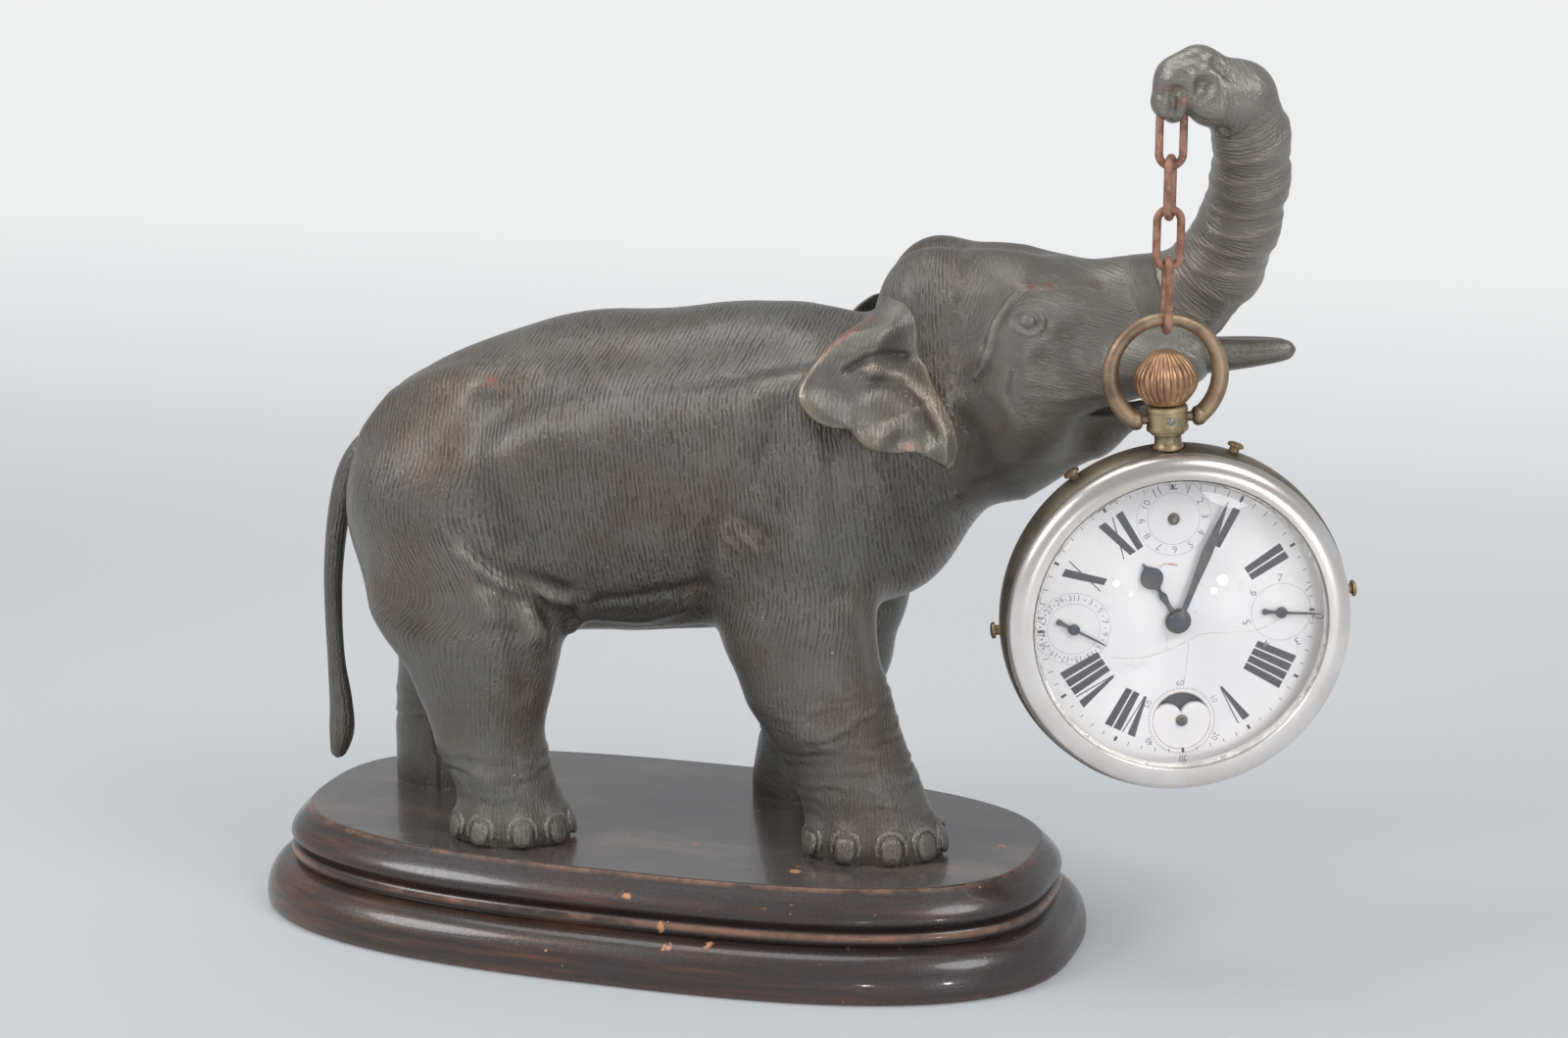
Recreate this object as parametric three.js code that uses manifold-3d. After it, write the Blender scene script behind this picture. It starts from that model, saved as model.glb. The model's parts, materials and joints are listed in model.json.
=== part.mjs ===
// Figural clock: a cast elephant on a moulded wooden plinth holds up a large
// calendar pocket watch, which hangs from a short chain at the tip of its trunk.
// Millimetres. Origin at the middle of the plinth's underside, +X towards the
// elephant's head, +Y away from the viewer, +Z up.

import * as THREE from "three";
import { mergeVertices } from "three/addons/utils/BufferGeometryUtils.js";
import Module from "manifold-3d";

const wasm = await Module();
wasm.setup();

// Running clearance of pivots, bores and pins, and the wider gap round cast sockets
const FIT = 0.3;
const CAST_FIT = 0.4;

// Wooden plinth: an oblong with bowed sides, moulded all round
const PLINTH_LENGTH = 180;
const PLINTH_DEPTH = 94.4;
const PLINTH_HEIGHT = 21.7;
const PLINTH_ROUNDNESS = 2.71;
const PLINTH_TOP_INSET = 9.7;
const PLINTH_STEPS = 34;
const RIDGE_HEIGHT = 15.7;
const RIDGE_INSET = 5.3;
const QUIRK_INSET = 6.9;
const BEAD_HEIGHT = 12.1;
const BEAD_RADIUS = 1.5;
const BEAD_INSET = 5.3;
const OVOLO_TOP = 10.1;
const OVOLO_WIDEST = 2.4;
const BOTTOM_INSET = 0.8;

// Screws that hold the feet from below
const SCREW_RADIUS = 1.5;
const SCREW_HEAD_RADIUS = 3;
const SCREW_HEAD_HEIGHT = 2.2;
const SCREW_GRIP = 5;
const COUNTERBORE_RADIUS = 4;
const COUNTERBORE_DEPTH = 8;
const SCREW_SIDES = 9;

// Elephant: where it stands and which way it looks
const ELEPHANT_TURN = 9;
const ELEPHANT_SET_BACK = 1.5;
const BODY_CELL = 6.9;
const HEAD_CELL = 4.6;

// Elephant: main sizes, u forwards, v to its left, w up from the plinth
const BARREL = { at: [-9, 0, 75.6], radii: [45, 29, 34.2] };
const RUMP = { at: [-41, 0, 68], radii: [28.5, 26, 29.5] };
const SHOULDER = { at: [21, 0, 78.5], radii: [30, 26, 33.2] };
const CHEST = { at: [44, 0, 69], radii: [18, 18, 19] };
const NECK = { from: [36, 0, 82], to: [66, 0, 93], radii: [27, 20] };
const SKULL = { at: [66, 0, 106], radii: [21.5, 19, 20] };
const BROW = { from: [78, 0, 108], to: [97, 0, 112.5], radii: [15.3, 10.3] };
const CHEEK = { at: [75, 8.5, 96], radii: [12, 8, 13] };
const JAW = { from: [73, 0, 85.5], to: [88, 0, 88], radii: [13, 6.4] };
const LOWER_LIP = { from: [88, 0, 88], to: [98, 0, 91], radii: [5.8, 2.4] };
const NEAR_SHEATH = { from: [85, -8.5, 100], to: [107, -10.6, 104.8], radii: [7.6, 5.8] };
const FAR_SHEATH = { from: [85, 8.5, 99], to: [106, 10.6, 101.9], radii: [7.6, 5.8] };

// Legs: [u, v, w, radius] down the middle of each, v already with its side
const LEG_FLATTEN = 0.78;
const NEAR_FORE_LEG = [
  [29, -14, 66, 17], [29.5, -16, 48, 15.6], [32.5, -17, 37, 14], [36.5, -17.5, 29, 12.8],
  [40.3, -17.5, 20, 11.6], [43.5, -17.5, 11, 12], [45.5, -17.5, 3, 13], [46, -17.5, -6, 13.4],
];
const FAR_FORE_LEG = [
  [32, 14, 66, 17], [33.5, 16, 48, 15], [32, 18, 34, 12.8], [29.5, 19, 22, 11.2],
  [27.5, 19, 11, 11], [27, 19, 3, 11.8], [27, 19, -6, 12.2],
];
const NEAR_HIND_LEG = [
  [-44.2, -11, 68, 20.8], [-42, -15, 53, 19.4], [-37.5, -17, 42, 16.6], [-36.6, -18, 33, 13.6],
  [-35.8, -19, 23, 11], [-32.8, -19.5, 14, 9.8], [-31, -19.5, 5, 10.8], [-31, -19.5, -6, 11.4],
];
const FAR_HIND_LEG = [
  [-42, 11, 70, 20], [-44, 15, 53, 18], [-48, 17, 40, 15.5], [-51.5, 17.5, 30, 12.6],
  [-54, 17.5, 20, 10.6], [-54.8, 17.5, 11, 10.2], [-54, 17.5, 3, 11], [-54, 17.5, -6, 11.4],
];
const FOOT_CENTRES = [[46, -17.5], [27, 19], [-31, -19.5], [-54, 17.5]];

// Modelled ridges and hollows of the body, the same on both sides: height above the hide
const BODY_FORMS = [
  { height: 1.3, width: 4, line: [[-63, 9, 84], [-58, 6, 91], [-48, 11, 95.5], [-40.5, 13, 98]] },
  { height: 1.6, width: 4.5, line: [[-36, 17, 96.5], [-33, 18, 95.5]] },
  { height: -2, width: 5.5, line: [[-34, 21.7, 92], [-36.5, 24.7, 85], [-35.6, 27.5, 76.6],
    [-31.4, 28, 66.5]] },
  { height: -1.7, width: 5.5, line: [[-29.6, 20, 95.7], [-13, 20.7, 99.3], [7, 19.4, 101.7],
    [25, 18, 103.9]] },
  { height: 1.3, width: 4.2, line: [[-30, 23.3, 89.5], [-20.7, 23.5, 93.6], [7.6, 23.3, 96.4],
    [24.5, 22.2, 98.7]] },
  { height: 1.4, width: 4, line: [[24.5, 22.5, 99], [31, 22, 99.5]] },
  { height: -1.6, width: 4, line: [[24.9, 24.8, 94.2], [24.2, 26.6, 89.1], [21.6, 27.7, 82],
    [15.8, 28.1, 76]] },
  { height: 1.2, width: 5, line: [[31.5, 22, 98.9], [34, 26.5, 88], [32.3, 27.8, 75],
    [30.7, 27.6, 66.7]] },
  { height: -1.2, width: 4.2, line: [[38, 25.8, 90], [39.7, 26.4, 75], [40.3, 24.3, 58]] },
];

// Trunk: raised, swung towards the near side, [u, v, w, radius]
const TRUNK = [
  [97, 0, 112.5, 10.3], [106.5, -1.5, 115.6, 9.3], [113.5, -5, 123.2, 8.4],
  [117.3, -9.5, 132.4, 7.6], [119.2, -14.5, 142, 7.2], [119.4, -19.5, 150.4, 6.9],
  [117.6, -24, 156.6, 6.5], [113.4, -26.8, 156.4, 5.7],
];
const TRUNK_FINGER = [
  [116, -25.3, 160.5, 5.4], [110.4, -27, 164, 4.7], [105.2, -28.1, 163.6, 4.2],
  [102.4, -28.5, 159.8, 3.4],
];

// Tusks and tail: [u, v, w, radius], rooted in sockets
const NEAR_TUSK = [
  [97, -9.7, 102.9, 3.3], [104, -10.3, 104.3, 3.5], [112, -10.8, 105.3, 3.4],
  [120, -10.9, 106.2, 2.9], [126, -10.7, 106.9, 2.3], [129.2, -10.5, 107.2, 1.5],
];
const FAR_TUSK = [
  [97, 9.7, 100.8, 3.3], [104, 10.3, 101.6, 3.5], [112, 10.8, 102, 3.4],
  [120, 10.9, 102.8, 2.9], [125.5, 10.7, 103.3, 2.3], [128.4, 10.5, 103.6, 1.5],
];
const TAIL = [
  [-57, 0, 82, 2.9], [-64.5, 0, 80, 2.9], [-69.4, 0, 74, 2.7], [-72.2, 0, 65, 2.4],
  [-73.9, 0, 53, 2.1], [-74.3, 0, 42, 1.9], [-74, 0, 31, 1.9], [-73.3, 0, 22, 2.6],
  [-73.2, 0, 15, 2.9], [-74.6, 0, 9, 1.2],
];

// Ears: front edge on the head, then the free edge, near side (v negative)
const EAR_THICKNESS = 2.6;
const EAR_BULGE = 2.5;
const EAR_ROOT = [[54, -13, 121], [61, -15, 115], [65, -16, 103], [65, -15, 90]];
const EAR_EDGE = [
  [48, -19.5, 119], [41, -25, 111.5], [32.5, -27.5, 103], [34, -29, 96],
  [43, -29.5, 87.5], [52, -28, 86], [60, -25, 84.5], [64, -22, 87],
];
const EAR_ACROSS = 4;
const EAR_ALONG = 11;

// Neck joint between the body casting and the head casting
const NECK_CUT = [42, 0, 104];
const NECK_CUT_TILT = 31;
const NECK_JOINT_GAP = 0.04;
const EAR_SEAT = { at: [54, 0, 102], half: [26, 36, 28], margin: 10 };
const CUTTER_SIZE = 400;
const CUTTER_DEPTH = 40;

// Watch chain
const WATCH_TURN = 21.5;
const CHAIN_SHIFT = [-1.25, -0.2];
const LINK_WIRE = 0.8;
const LINK_HALF_WIDTH = 2.35;
const LINK_LENGTH = 13.4;
const LAST_LINK_LENGTH = 15.9;
const LINK_TWIST = [0, 68, 0, 90];
const HOOK_BELOW_FINGER = 8.5;
const HOOK_RADIUS = 3.4;
const HOOK_WIRE = 1.15;
const HOOK_TURN = 22;

// Watch: bow, pendant and crown
const WATCH_LEAN = 3.8;
const BOW_RADIUS = 10.9;
const BOW_WIRE_TOP = 1.3;
const BOW_WIRE_END = 1.75;
const BOW_END_ANGLE = 36;
const BOW_HANGS_OFF = 0.5;
const BOW_PIN_RADIUS = 0.95;
const BOW_PIN_REACH = 1.6;
const COLLAR_RADIUS = 4.15;
const COLLAR_HEIGHT = 5.3;
const NECK_RADIUS = 2.65;
const NECK_HEIGHT = 3.2;
const CROWN_RADIUS = 6.4;
const CROWN_HEIGHT = 10.5;
const CROWN_FLUTES = 18;
const CROWN_FLUTE_DEPTH = 0.35;
const STEM_RADIUS = 1.1;
const PENDANT_SCREW_RADIUS = 0.6;

// Watch: case
const CASE_RADIUS = 35.1;
const CASE_WALL = 3.4;
const BAND_FRONT = 4;
const BAND_BACK = 6;
const BAND_CROWNING = 1.2;
const BACK_DOME = 3.4;
const BACK_WALL = 1.2;
const BEZEL_STEP = 0.7;
const BEZEL_HEIGHT = 3.6;
const BEZEL_WIDTH = 3.9;
const CRYSTAL_DOME = 4.6;
const CRYSTAL_WALL = 1.1;
const CASE_STEPS = 25;

// Watch: dial and hands
const DIAL_CLEARANCE = 0.8;
const DIAL_THICKNESS = 1.2;
const DIAL_BACK = 1.2;
const SUBDIAL_FROM_RIM = 10;
const CANNON_RADIUS = 0.9;
const HOUR_PIPE_RADIUS = 1.7;
const HAND_THICKNESS = 0.4;
const HAND_SPACING = 0.55;
const HOUR_HAND_LENGTH = 14.1;
const MINUTE_HAND_LENGTH = 26;
const HOUR_HAND_ANGLE = 332;
const MINUTE_HAND_ANGLE = 24;
const POST_RADIUS = 0.55;
const CALENDAR_HAND_LENGTH = 7.4;
const CALENDAR_TAIL_LENGTH = 3.9;
const DATE_HAND_ANGLE = 122;
const DAY_HAND_ANGLE = 97;
const MOON_CLEARANCE = 1;
const MOON_THICKNESS = 0.5;
const MOON_WINDOW_RADIUS = 5.7;
const MOON_HUMP_RADIUS = 3.1;
const MOON_HUMP_AT = [2.9, 0.3];

// Watch: movement and the small pushers in the band
const PLATE_CLEARANCE = 1.4;
const PLATE_THICKNESS = 3;
const WHEEL_RADIUS = 4;
const WHEEL_THICKNESS = 0.5;
const WHEEL_RECESS = 1.2;
const BRIDGE_STEP = 3.4;
const DIAL_FOOT_STEP = 0.5;
const DIAL_FOOT_WALL = 1.1;
const BRIDGE_THICKNESS = 2.6;
const BRIDGE_SEAT_GAP = 0.04;
const PUSHER_RADIUS = 0.8;
const PUSHER_HEAD_RADIUS = 1.4;
const PUSHER_HEAD = 1.3;
const PUSHER_TRAVEL = 0.9;
const PUSHER_LENGTH = 4.4;
const PUSHER_ANGLES = [90, 32, -22, -86];

// Radii that follow from the case and its clearances
const CASE_BORE = CASE_RADIUS - CASE_WALL;
const BEZEL_RADIUS = CASE_RADIUS - BEZEL_STEP;
const BEZEL_OPENING = BEZEL_RADIUS - BEZEL_WIDTH;
const DIAL_RADIUS = CASE_BORE - DIAL_CLEARANCE;
const SUBDIAL_DISTANCE = DIAL_RADIUS - SUBDIAL_FROM_RIM;
const PLATE_RADIUS = CASE_BORE - PLATE_CLEARANCE;
const BRIDGE_RADIUS = PLATE_RADIUS - BRIDGE_STEP;
const DIAL_FOOT_BORE = PLATE_RADIUS - DIAL_FOOT_STEP - DIAL_FOOT_WALL;
const MOON_RADIUS = DIAL_FOOT_BORE - MOON_CLEARANCE - SUBDIAL_DISTANCE;

// Casting detail
const SOCKET_SIDES = 10;

const MATERIALS = {
  bronze: { color: 0x55524b, roughness: 0.45, metalness: 0.75 },
  ivory: { color: 0x4f4a40, roughness: 0.4, metalness: 0.7 },
  wood: { color: 0x2c1d18, roughness: 0.35, metalness: 0 },
  steel: { color: 0x8f9296, roughness: 0.35, metalness: 0.9 },
  copper: { color: 0x7a4c3a, roughness: 0.6, metalness: 0.7 },
  gunmetal: { color: 0x6b6252, roughness: 0.35, metalness: 0.85 },
  silver: { color: 0xb5b5b0, roughness: 0.25, metalness: 0.95 },
  crown: { color: 0xa8694a, roughness: 0.35, metalness: 0.85 },
  enamel: { color: 0xe9e8e2, roughness: 0.2, metalness: 0 },
  blued: { color: 0x1d2230, roughness: 0.3, metalness: 0.7 },
  brass: { color: 0xb08d48, roughness: 0.4, metalness: 0.9 },
  glass: { color: 0xe6eef0, roughness: 0.05, metalness: 0, transparent: true, opacity: 0.25 },
};

// Small vector and angle helpers
const radians = (degrees) => (degrees * Math.PI) / 180;
const mix = (a, b, t) => a + (b - a) * t;
const sum = (a, b) => a.map((x, i) => x + b[i]);
const scaled = (a, s) => a.map((x) => x * s);

// Turn a closed skin's faces outwards if its volume comes out negative
function outward(geometry) {
  const position = geometry.attributes.position;
  const index = geometry.index.array;
  const p = (k) => new THREE.Vector3().fromBufferAttribute(position, k);
  let volume = 0;
  for (let i = 0; i < index.length; i += 3) {
    volume += p(index[i]).dot(p(index[i + 1]).cross(p(index[i + 2])));
  }
  for (let i = 0; volume < 0 && i < index.length; i += 3) {
    [index[i + 1], index[i + 2]] = [index[i + 2], index[i + 1]];
  }
  return geometry;
}

// Solids: three.js geometry to manifold and back
function welded(geometry) {
  let g = geometry.clone();
  for (const name of Object.keys(g.attributes)) {
    if (name !== "position") g.deleteAttribute(name);
  }
  g = mergeVertices(g, 1e-4);
  const index = g.index.array;
  const kept = [];
  for (let i = 0; i < index.length; i += 3) {
    const [a, b, c] = [index[i], index[i + 1], index[i + 2]];
    if (a !== b && b !== c && a !== c) kept.push(a, b, c);
  }
  g.setIndex(kept);
  return outward(g);
}

function toSolid(geometry) {
  const g = welded(geometry);
  const mesh = new wasm.Mesh({
    numProp: 3,
    vertProperties: Float32Array.from(g.attributes.position.array),
    triVerts: Uint32Array.from(g.index.array),
  });
  return new wasm.Manifold(mesh);
}

function toGeometry(solid) {
  const mesh = solid.getMesh();
  const g = new THREE.BufferGeometry();
  g.setAttribute("position", new THREE.BufferAttribute(Float32Array.from(mesh.vertProperties), 3));
  g.setIndex(new THREE.BufferAttribute(Uint32Array.from(mesh.triVerts), 1));
  return g;
}

const cut = (geometry, ...tools) =>
  toGeometry(tools.reduce((s, t) => s.subtract(toSolid(t)), toSolid(geometry)));
const join = (geometry, ...others) =>
  toGeometry(others.reduce((s, o) => s.add(toSolid(o)), toSolid(geometry)));

// A cylinder between two heights on local Z
function post(radius, from, to, sides = 16) {
  const g = new THREE.CylinderGeometry(radius, radius, to - from, sides);
  return g.rotateX(Math.PI / 2).translate(0, 0, (from + to) / 2);
}

// A turned piece on local Z from [radius, height] pairs
function turned(profile, steps = CASE_STEPS) {
  const points = profile.map(([r, z]) => new THREE.Vector2(r, z));
  return welded(new THREE.LatheGeometry(points, steps).rotateX(Math.PI / 2));
}

// A round bar of changing radius along points, with flat ends
function bar(points, radii, sides = SOCKET_SIDES, closed = false) {
  const path = points.map((p) => new THREE.Vector3(...p));
  const count = path.length;
  const rings = [];
  let side = null;
  for (let i = 0; i < count; i++) {
    const before = path[closed ? (i + count - 1) % count : Math.max(i - 1, 0)];
    const after = path[closed ? (i + 1) % count : Math.min(i + 1, count - 1)];
    const along = after.clone().sub(before).normalize();
    if (!side) {
      side = new THREE.Vector3(0, 1, 0);
      if (Math.abs(along.y) > 0.8) side.set(1, 0, 0);
    }
    side = side.clone().addScaledVector(along, -side.dot(along)).normalize();
    const other = along.clone().cross(side);
    const ring = [];
    for (let k = 0; k < sides; k++) {
      const a = (2 * Math.PI * k) / sides;
      const p = path[i].clone();
      p.addScaledVector(side, radii[i] * Math.cos(a));
      p.addScaledVector(other, radii[i] * Math.sin(a));
      ring.push([p.x, p.y, p.z]);
    }
    rings.push(ring);
  }
  return loft(rings, closed);
}

// Skin over rings of equal point counts, capped at both ends unless it closes on itself
function loft(rings, closed = false) {
  const sides = rings[0].length;
  const position = rings.flat(2);
  const index = [];
  const last = closed ? rings.length : rings.length - 1;
  for (let i = 0; i < last; i++) {
    const next = (i + 1) % rings.length;
    for (let k = 0; k < sides; k++) {
      const a = i * sides + k;
      const b = i * sides + ((k + 1) % sides);
      const c = next * sides + ((k + 1) % sides);
      const d = next * sides + k;
      index.push(a, b, c, a, c, d);
    }
  }
  if (!closed) {
    for (const [ring, turn] of [[0, 1], [rings.length - 1, -1]]) {
      const centre = position.length / 3;
      const mean = [0, 1, 2].map((i) => rings[ring].reduce((s, p) => s + p[i], 0) / sides);
      position.push(...mean);
      for (let k = 0; k < sides; k++) {
        const a = ring * sides + k;
        const b = ring * sides + ((k + 1) % sides);
        if (turn > 0) index.push(centre, b, a);
        else index.push(centre, a, b);
      }
    }
  }
  const g = new THREE.BufferGeometry();
  g.setAttribute("position", new THREE.Float32BufferAttribute(position, 3));
  g.setIndex(index);
  return g;
}

// Distance fields of the cast forms
const capsule = (p, a, b, ra, rb) => {
  const ab = [b[0] - a[0], b[1] - a[1], b[2] - a[2]];
  const ap = [p[0] - a[0], p[1] - a[1], p[2] - a[2]];
  const reach = ab[0] * ab[0] + ab[1] * ab[1] + ab[2] * ab[2];
  const along = (ap[0] * ab[0] + ap[1] * ab[1] + ap[2] * ab[2]) / reach;
  const t = Math.min(1, Math.max(0, along));
  const d = Math.hypot(ap[0] - ab[0] * t, ap[1] - ab[1] * t, ap[2] - ab[2] * t);
  return d - mix(ra, rb, t);
};
const ellipsoid = (p, { at, radii }) => {
  const q = [(p[0] - at[0]) / radii[0], (p[1] - at[1]) / radii[1], (p[2] - at[2]) / radii[2]];
  const k0 = Math.hypot(...q);
  const k1 = Math.hypot(q[0] / radii[0], q[1] / radii[1], q[2] / radii[2]);
  return k1 > 0 ? (k0 * (k0 - 1)) / k1 : -Math.min(...radii);
};
const bone = (p, { from, to, radii }) => capsule(p, from, to, radii[0], radii[1]);
const blend = (a, b, width) => {
  const h = Math.max(width - Math.abs(a - b), 0) / width;
  return Math.min(a, b) - (h * h * width) / 4;
};
const chain = (p, points, width) => {
  let d = Infinity;
  for (let i = 0; i + 1 < points.length; i++) {
    const part = capsule(p, points[i], points[i + 1], points[i][3], points[i + 1][3]);
    d = d === Infinity ? part : blend(d, part, width);
  }
  return d;
};
const leg = (p, points) => {
  const middle = points[3][1];
  const flat = points.map(([u, v, w, r]) => [u, v / LEG_FLATTEN, w, r]);
  const q = [p[0], p[1] / LEG_FLATTEN, p[2]];
  return Math.sign(middle) * p[1] < -14 ? 30 : chain(q, flat, 3) * LEG_FLATTEN;
};

// Height of the ridges and hollows of the body at a point of its hide
function hideForms(p) {
  let height = 0;
  for (const form of BODY_FORMS) {
    let away = Infinity;
    for (let i = 0; i + 1 < form.line.length; i++) {
      away = Math.min(away, capsule(p, form.line[i], form.line[i + 1], 0, 0));
    }
    height += form.height * Math.exp(-((away / form.width) ** 2));
  }
  return height;
}

function elephantField(p) {
  const mirror = [p[0], Math.abs(p[1]), p[2]];
  let d = ellipsoid(p, BARREL);
  d = blend(d, ellipsoid(p, RUMP), 12);
  d = blend(d, ellipsoid(p, SHOULDER), 12);
  d = blend(d, ellipsoid(p, CHEST), 10);
  d = blend(d, bone(p, NECK), 8);
  if (p[2] < 95 && p[0] < 75) {
    for (const points of [NEAR_FORE_LEG, FAR_FORE_LEG, NEAR_HIND_LEG, FAR_HIND_LEG]) {
      d = blend(d, leg(p, points), 5);
    }
  }
  if (p[0] < 52 && Math.abs(d) < BODY_CELL) d -= hideForms(mirror);
  if (p[0] < 30) return d;
  d = blend(d, ellipsoid(p, SKULL), 6);
  d = blend(d, bone(p, BROW), 7);
  d = blend(d, ellipsoid(mirror, CHEEK), 6);
  let mouth = bone(p, JAW);
  mouth = blend(mouth, bone(p, LOWER_LIP), 3);
  d = blend(d, mouth, 4);
  d = blend(d, bone(p, NEAR_SHEATH), 4);
  d = blend(d, bone(p, FAR_SHEATH), 4);
  if (p[0] > 85) {
    d = blend(d, chain(p, TRUNK, 3), 4);
    d = blend(d, chain(p, TRUNK_FINGER, 2), 2);
  }
  return d;
}

// Skin a distance field: one point in each crossed cell, pulled onto the surface
function skin(field, low, high, cell) {
  const count = low.map((l, i) => Math.ceil((high[i] - l) / cell) + 1);
  const [nu, nv, nw] = count;
  const at = (i, j, k) => (k * nv + j) * nu + i;
  const corner = (i, j, k) => [low[0] + i * cell, low[1] + j * cell, low[2] + k * cell];
  const values = new Float64Array(nu * nv * nw);
  for (let k = 0; k < nw; k++) {
    for (let j = 0; j < nv; j++) {
      for (let i = 0; i < nu; i++) {
        const rim = Math.min(i, j, k, nu - 1 - i, nv - 1 - j, nw - 1 - k) < 2;
        const d = field(corner(i, j, k));
        values[at(i, j, k)] = rim ? Math.max(d, cell / 2) : d;
      }
    }
  }
  // A square of the grid with inside and outside corners crosswise would pinch the skin:
  // its shallowest outside corner is filled
  for (let pass = 0, pinched = true; pinched && pass < 12; pass++) {
    pinched = false;
    for (let k = 1; k < nw - 1; k++) {
      for (let j = 1; j < nv - 1; j++) {
        for (let i = 1; i < nu - 1; i++) {
          for (const [s, t] of [[[1, 0, 0], [0, 1, 0]], [[0, 1, 0], [0, 0, 1]], [[0, 0, 1], [1, 0, 0]]]) {
            const a = at(i, j, k);
            const b = at(i + s[0], j + s[1], k + s[2]);
            const c = at(i + t[0], j + t[1], k + t[2]);
            const d = at(i + s[0] + t[0], j + s[1] + t[1], k + s[2] + t[2]);
            const inside = [a, b, c, d].map((n) => values[n] < 0);
            if (inside[0] !== inside[3] || inside[1] !== inside[2] || inside[0] === inside[1]) continue;
            const open = inside[0] ? [b, c] : [a, d];
            const shallow = values[open[0]] < values[open[1]] ? open[0] : open[1];
            values[shallow] = -cell / 50;
            pinched = true;
          }
        }
      }
    }
  }
  const slope = (p) => {
    const e = 0.05;
    return [0, 1, 2].map((axis) => {
      const step = [0, 0, 0];
      step[axis] = e;
      return (field(sum(p, step)) - field(sum(p, scaled(step, -1)))) / (2 * e);
    });
  };
  const position = [];
  const vertex = new Map();
  const point = (i, j, k) => {
    const key = at(i, j, k);
    if (vertex.has(key)) return vertex.get(key);
    let middle = [0, 0, 0];
    let crossings = 0;
    for (let axis = 0; axis < 3; axis++) {
      for (const [s, t] of [[0, 0], [1, 0], [0, 1], [1, 1]]) {
        const from = [0, 0, 0];
        from[(axis + 1) % 3] = s;
        from[(axis + 2) % 3] = t;
        const to = [...from];
        to[axis] = 1;
        const a = values[at(i + from[0], j + from[1], k + from[2])];
        const b = values[at(i + to[0], j + to[1], k + to[2])];
        if (a < 0 === b < 0) continue;
        const where = [...from];
        where[axis] = a / (a - b);
        middle = sum(middle, where);
        crossings++;
      }
    }
    let p = sum(corner(i, j, k), scaled(middle, cell / crossings));
    const start = p;
    for (let pass = 0; pass < 4; pass++) {
      const g = slope(p);
      const size = g[0] * g[0] + g[1] * g[1] + g[2] * g[2];
      p = sum(p, scaled(g, -field(p) / Math.max(size, 0.05)));
    }
    if (Math.hypot(p[0] - start[0], p[1] - start[1], p[2] - start[2]) > 0.7 * cell) p = start;
    vertex.set(key, position.length / 3);
    position.push(...p);
    return vertex.get(key);
  };
  const index = [];
  const place = (n) => position.slice(3 * n, 3 * n + 3);
  const apart = (a, b) => Math.hypot(...place(a).map((x, i) => x - place(b)[i]));
  for (let k = 1; k < nw - 1; k++) {
    for (let j = 1; j < nv - 1; j++) {
      for (let i = 1; i < nu - 1; i++) {
        for (let axis = 0; axis < 3; axis++) {
          const end = [i, j, k];
          end[axis] += 1;
          const a = values[at(i, j, k)];
          const b = values[at(...end)];
          if (a < 0 === b < 0) continue;
          const x = [0, 0, 0];
          const y = [0, 0, 0];
          x[(axis + 1) % 3] = 1;
          y[(axis + 2) % 3] = 1;
          const q = [
            point(i - x[0] - y[0], j - x[1] - y[1], k - x[2] - y[2]),
            point(i - y[0], j - y[1], k - y[2]),
            point(i, j, k),
            point(i - x[0], j - x[1], k - x[2]),
          ];
          if (a >= 0) q.reverse();
          if (apart(q[0], q[2]) <= apart(q[1], q[3])) {
            index.push(q[0], q[1], q[2], q[0], q[2], q[3]);
          } else {
            index.push(q[1], q[2], q[3], q[1], q[3], q[0]);
          }
        }
      }
    }
  }
  const g = new THREE.BufferGeometry();
  g.setAttribute("position", new THREE.Float32BufferAttribute(position, 3));
  g.setIndex(index);
  return g;
}

// The assembly
const clock = new THREE.Group();
clock.name = "figural_clock";

function add(name, geometry, material, matrix = null) {
  const mesh = new THREE.Mesh(geometry, new THREE.MeshStandardMaterial(MATERIALS[material]));
  if (matrix) geometry.applyMatrix4(matrix);
  geometry.computeVertexNormals();
  mesh.name = name;
  clock.add(mesh);
  return mesh;
}

// Elephant frame: u, v, w to X, Y, Z
const elephantPlace = new THREE.Matrix4().makeRotationZ(radians(ELEPHANT_TURN));
elephantPlace.setPosition(0, ELEPHANT_SET_BACK, PLINTH_HEIGHT);
const inElephant = ([x, y, z]) => {
  const p = new THREE.Vector3(x, y, z).applyMatrix4(elephantPlace.clone().invert());
  return [p.x, p.y, p.z];
};
const footPlaces = FOOT_CENTRES.map(([u, v]) => {
  const p = new THREE.Vector3(u, v, 0).applyMatrix4(elephantPlace);
  return [p.x, p.y];
});

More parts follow.
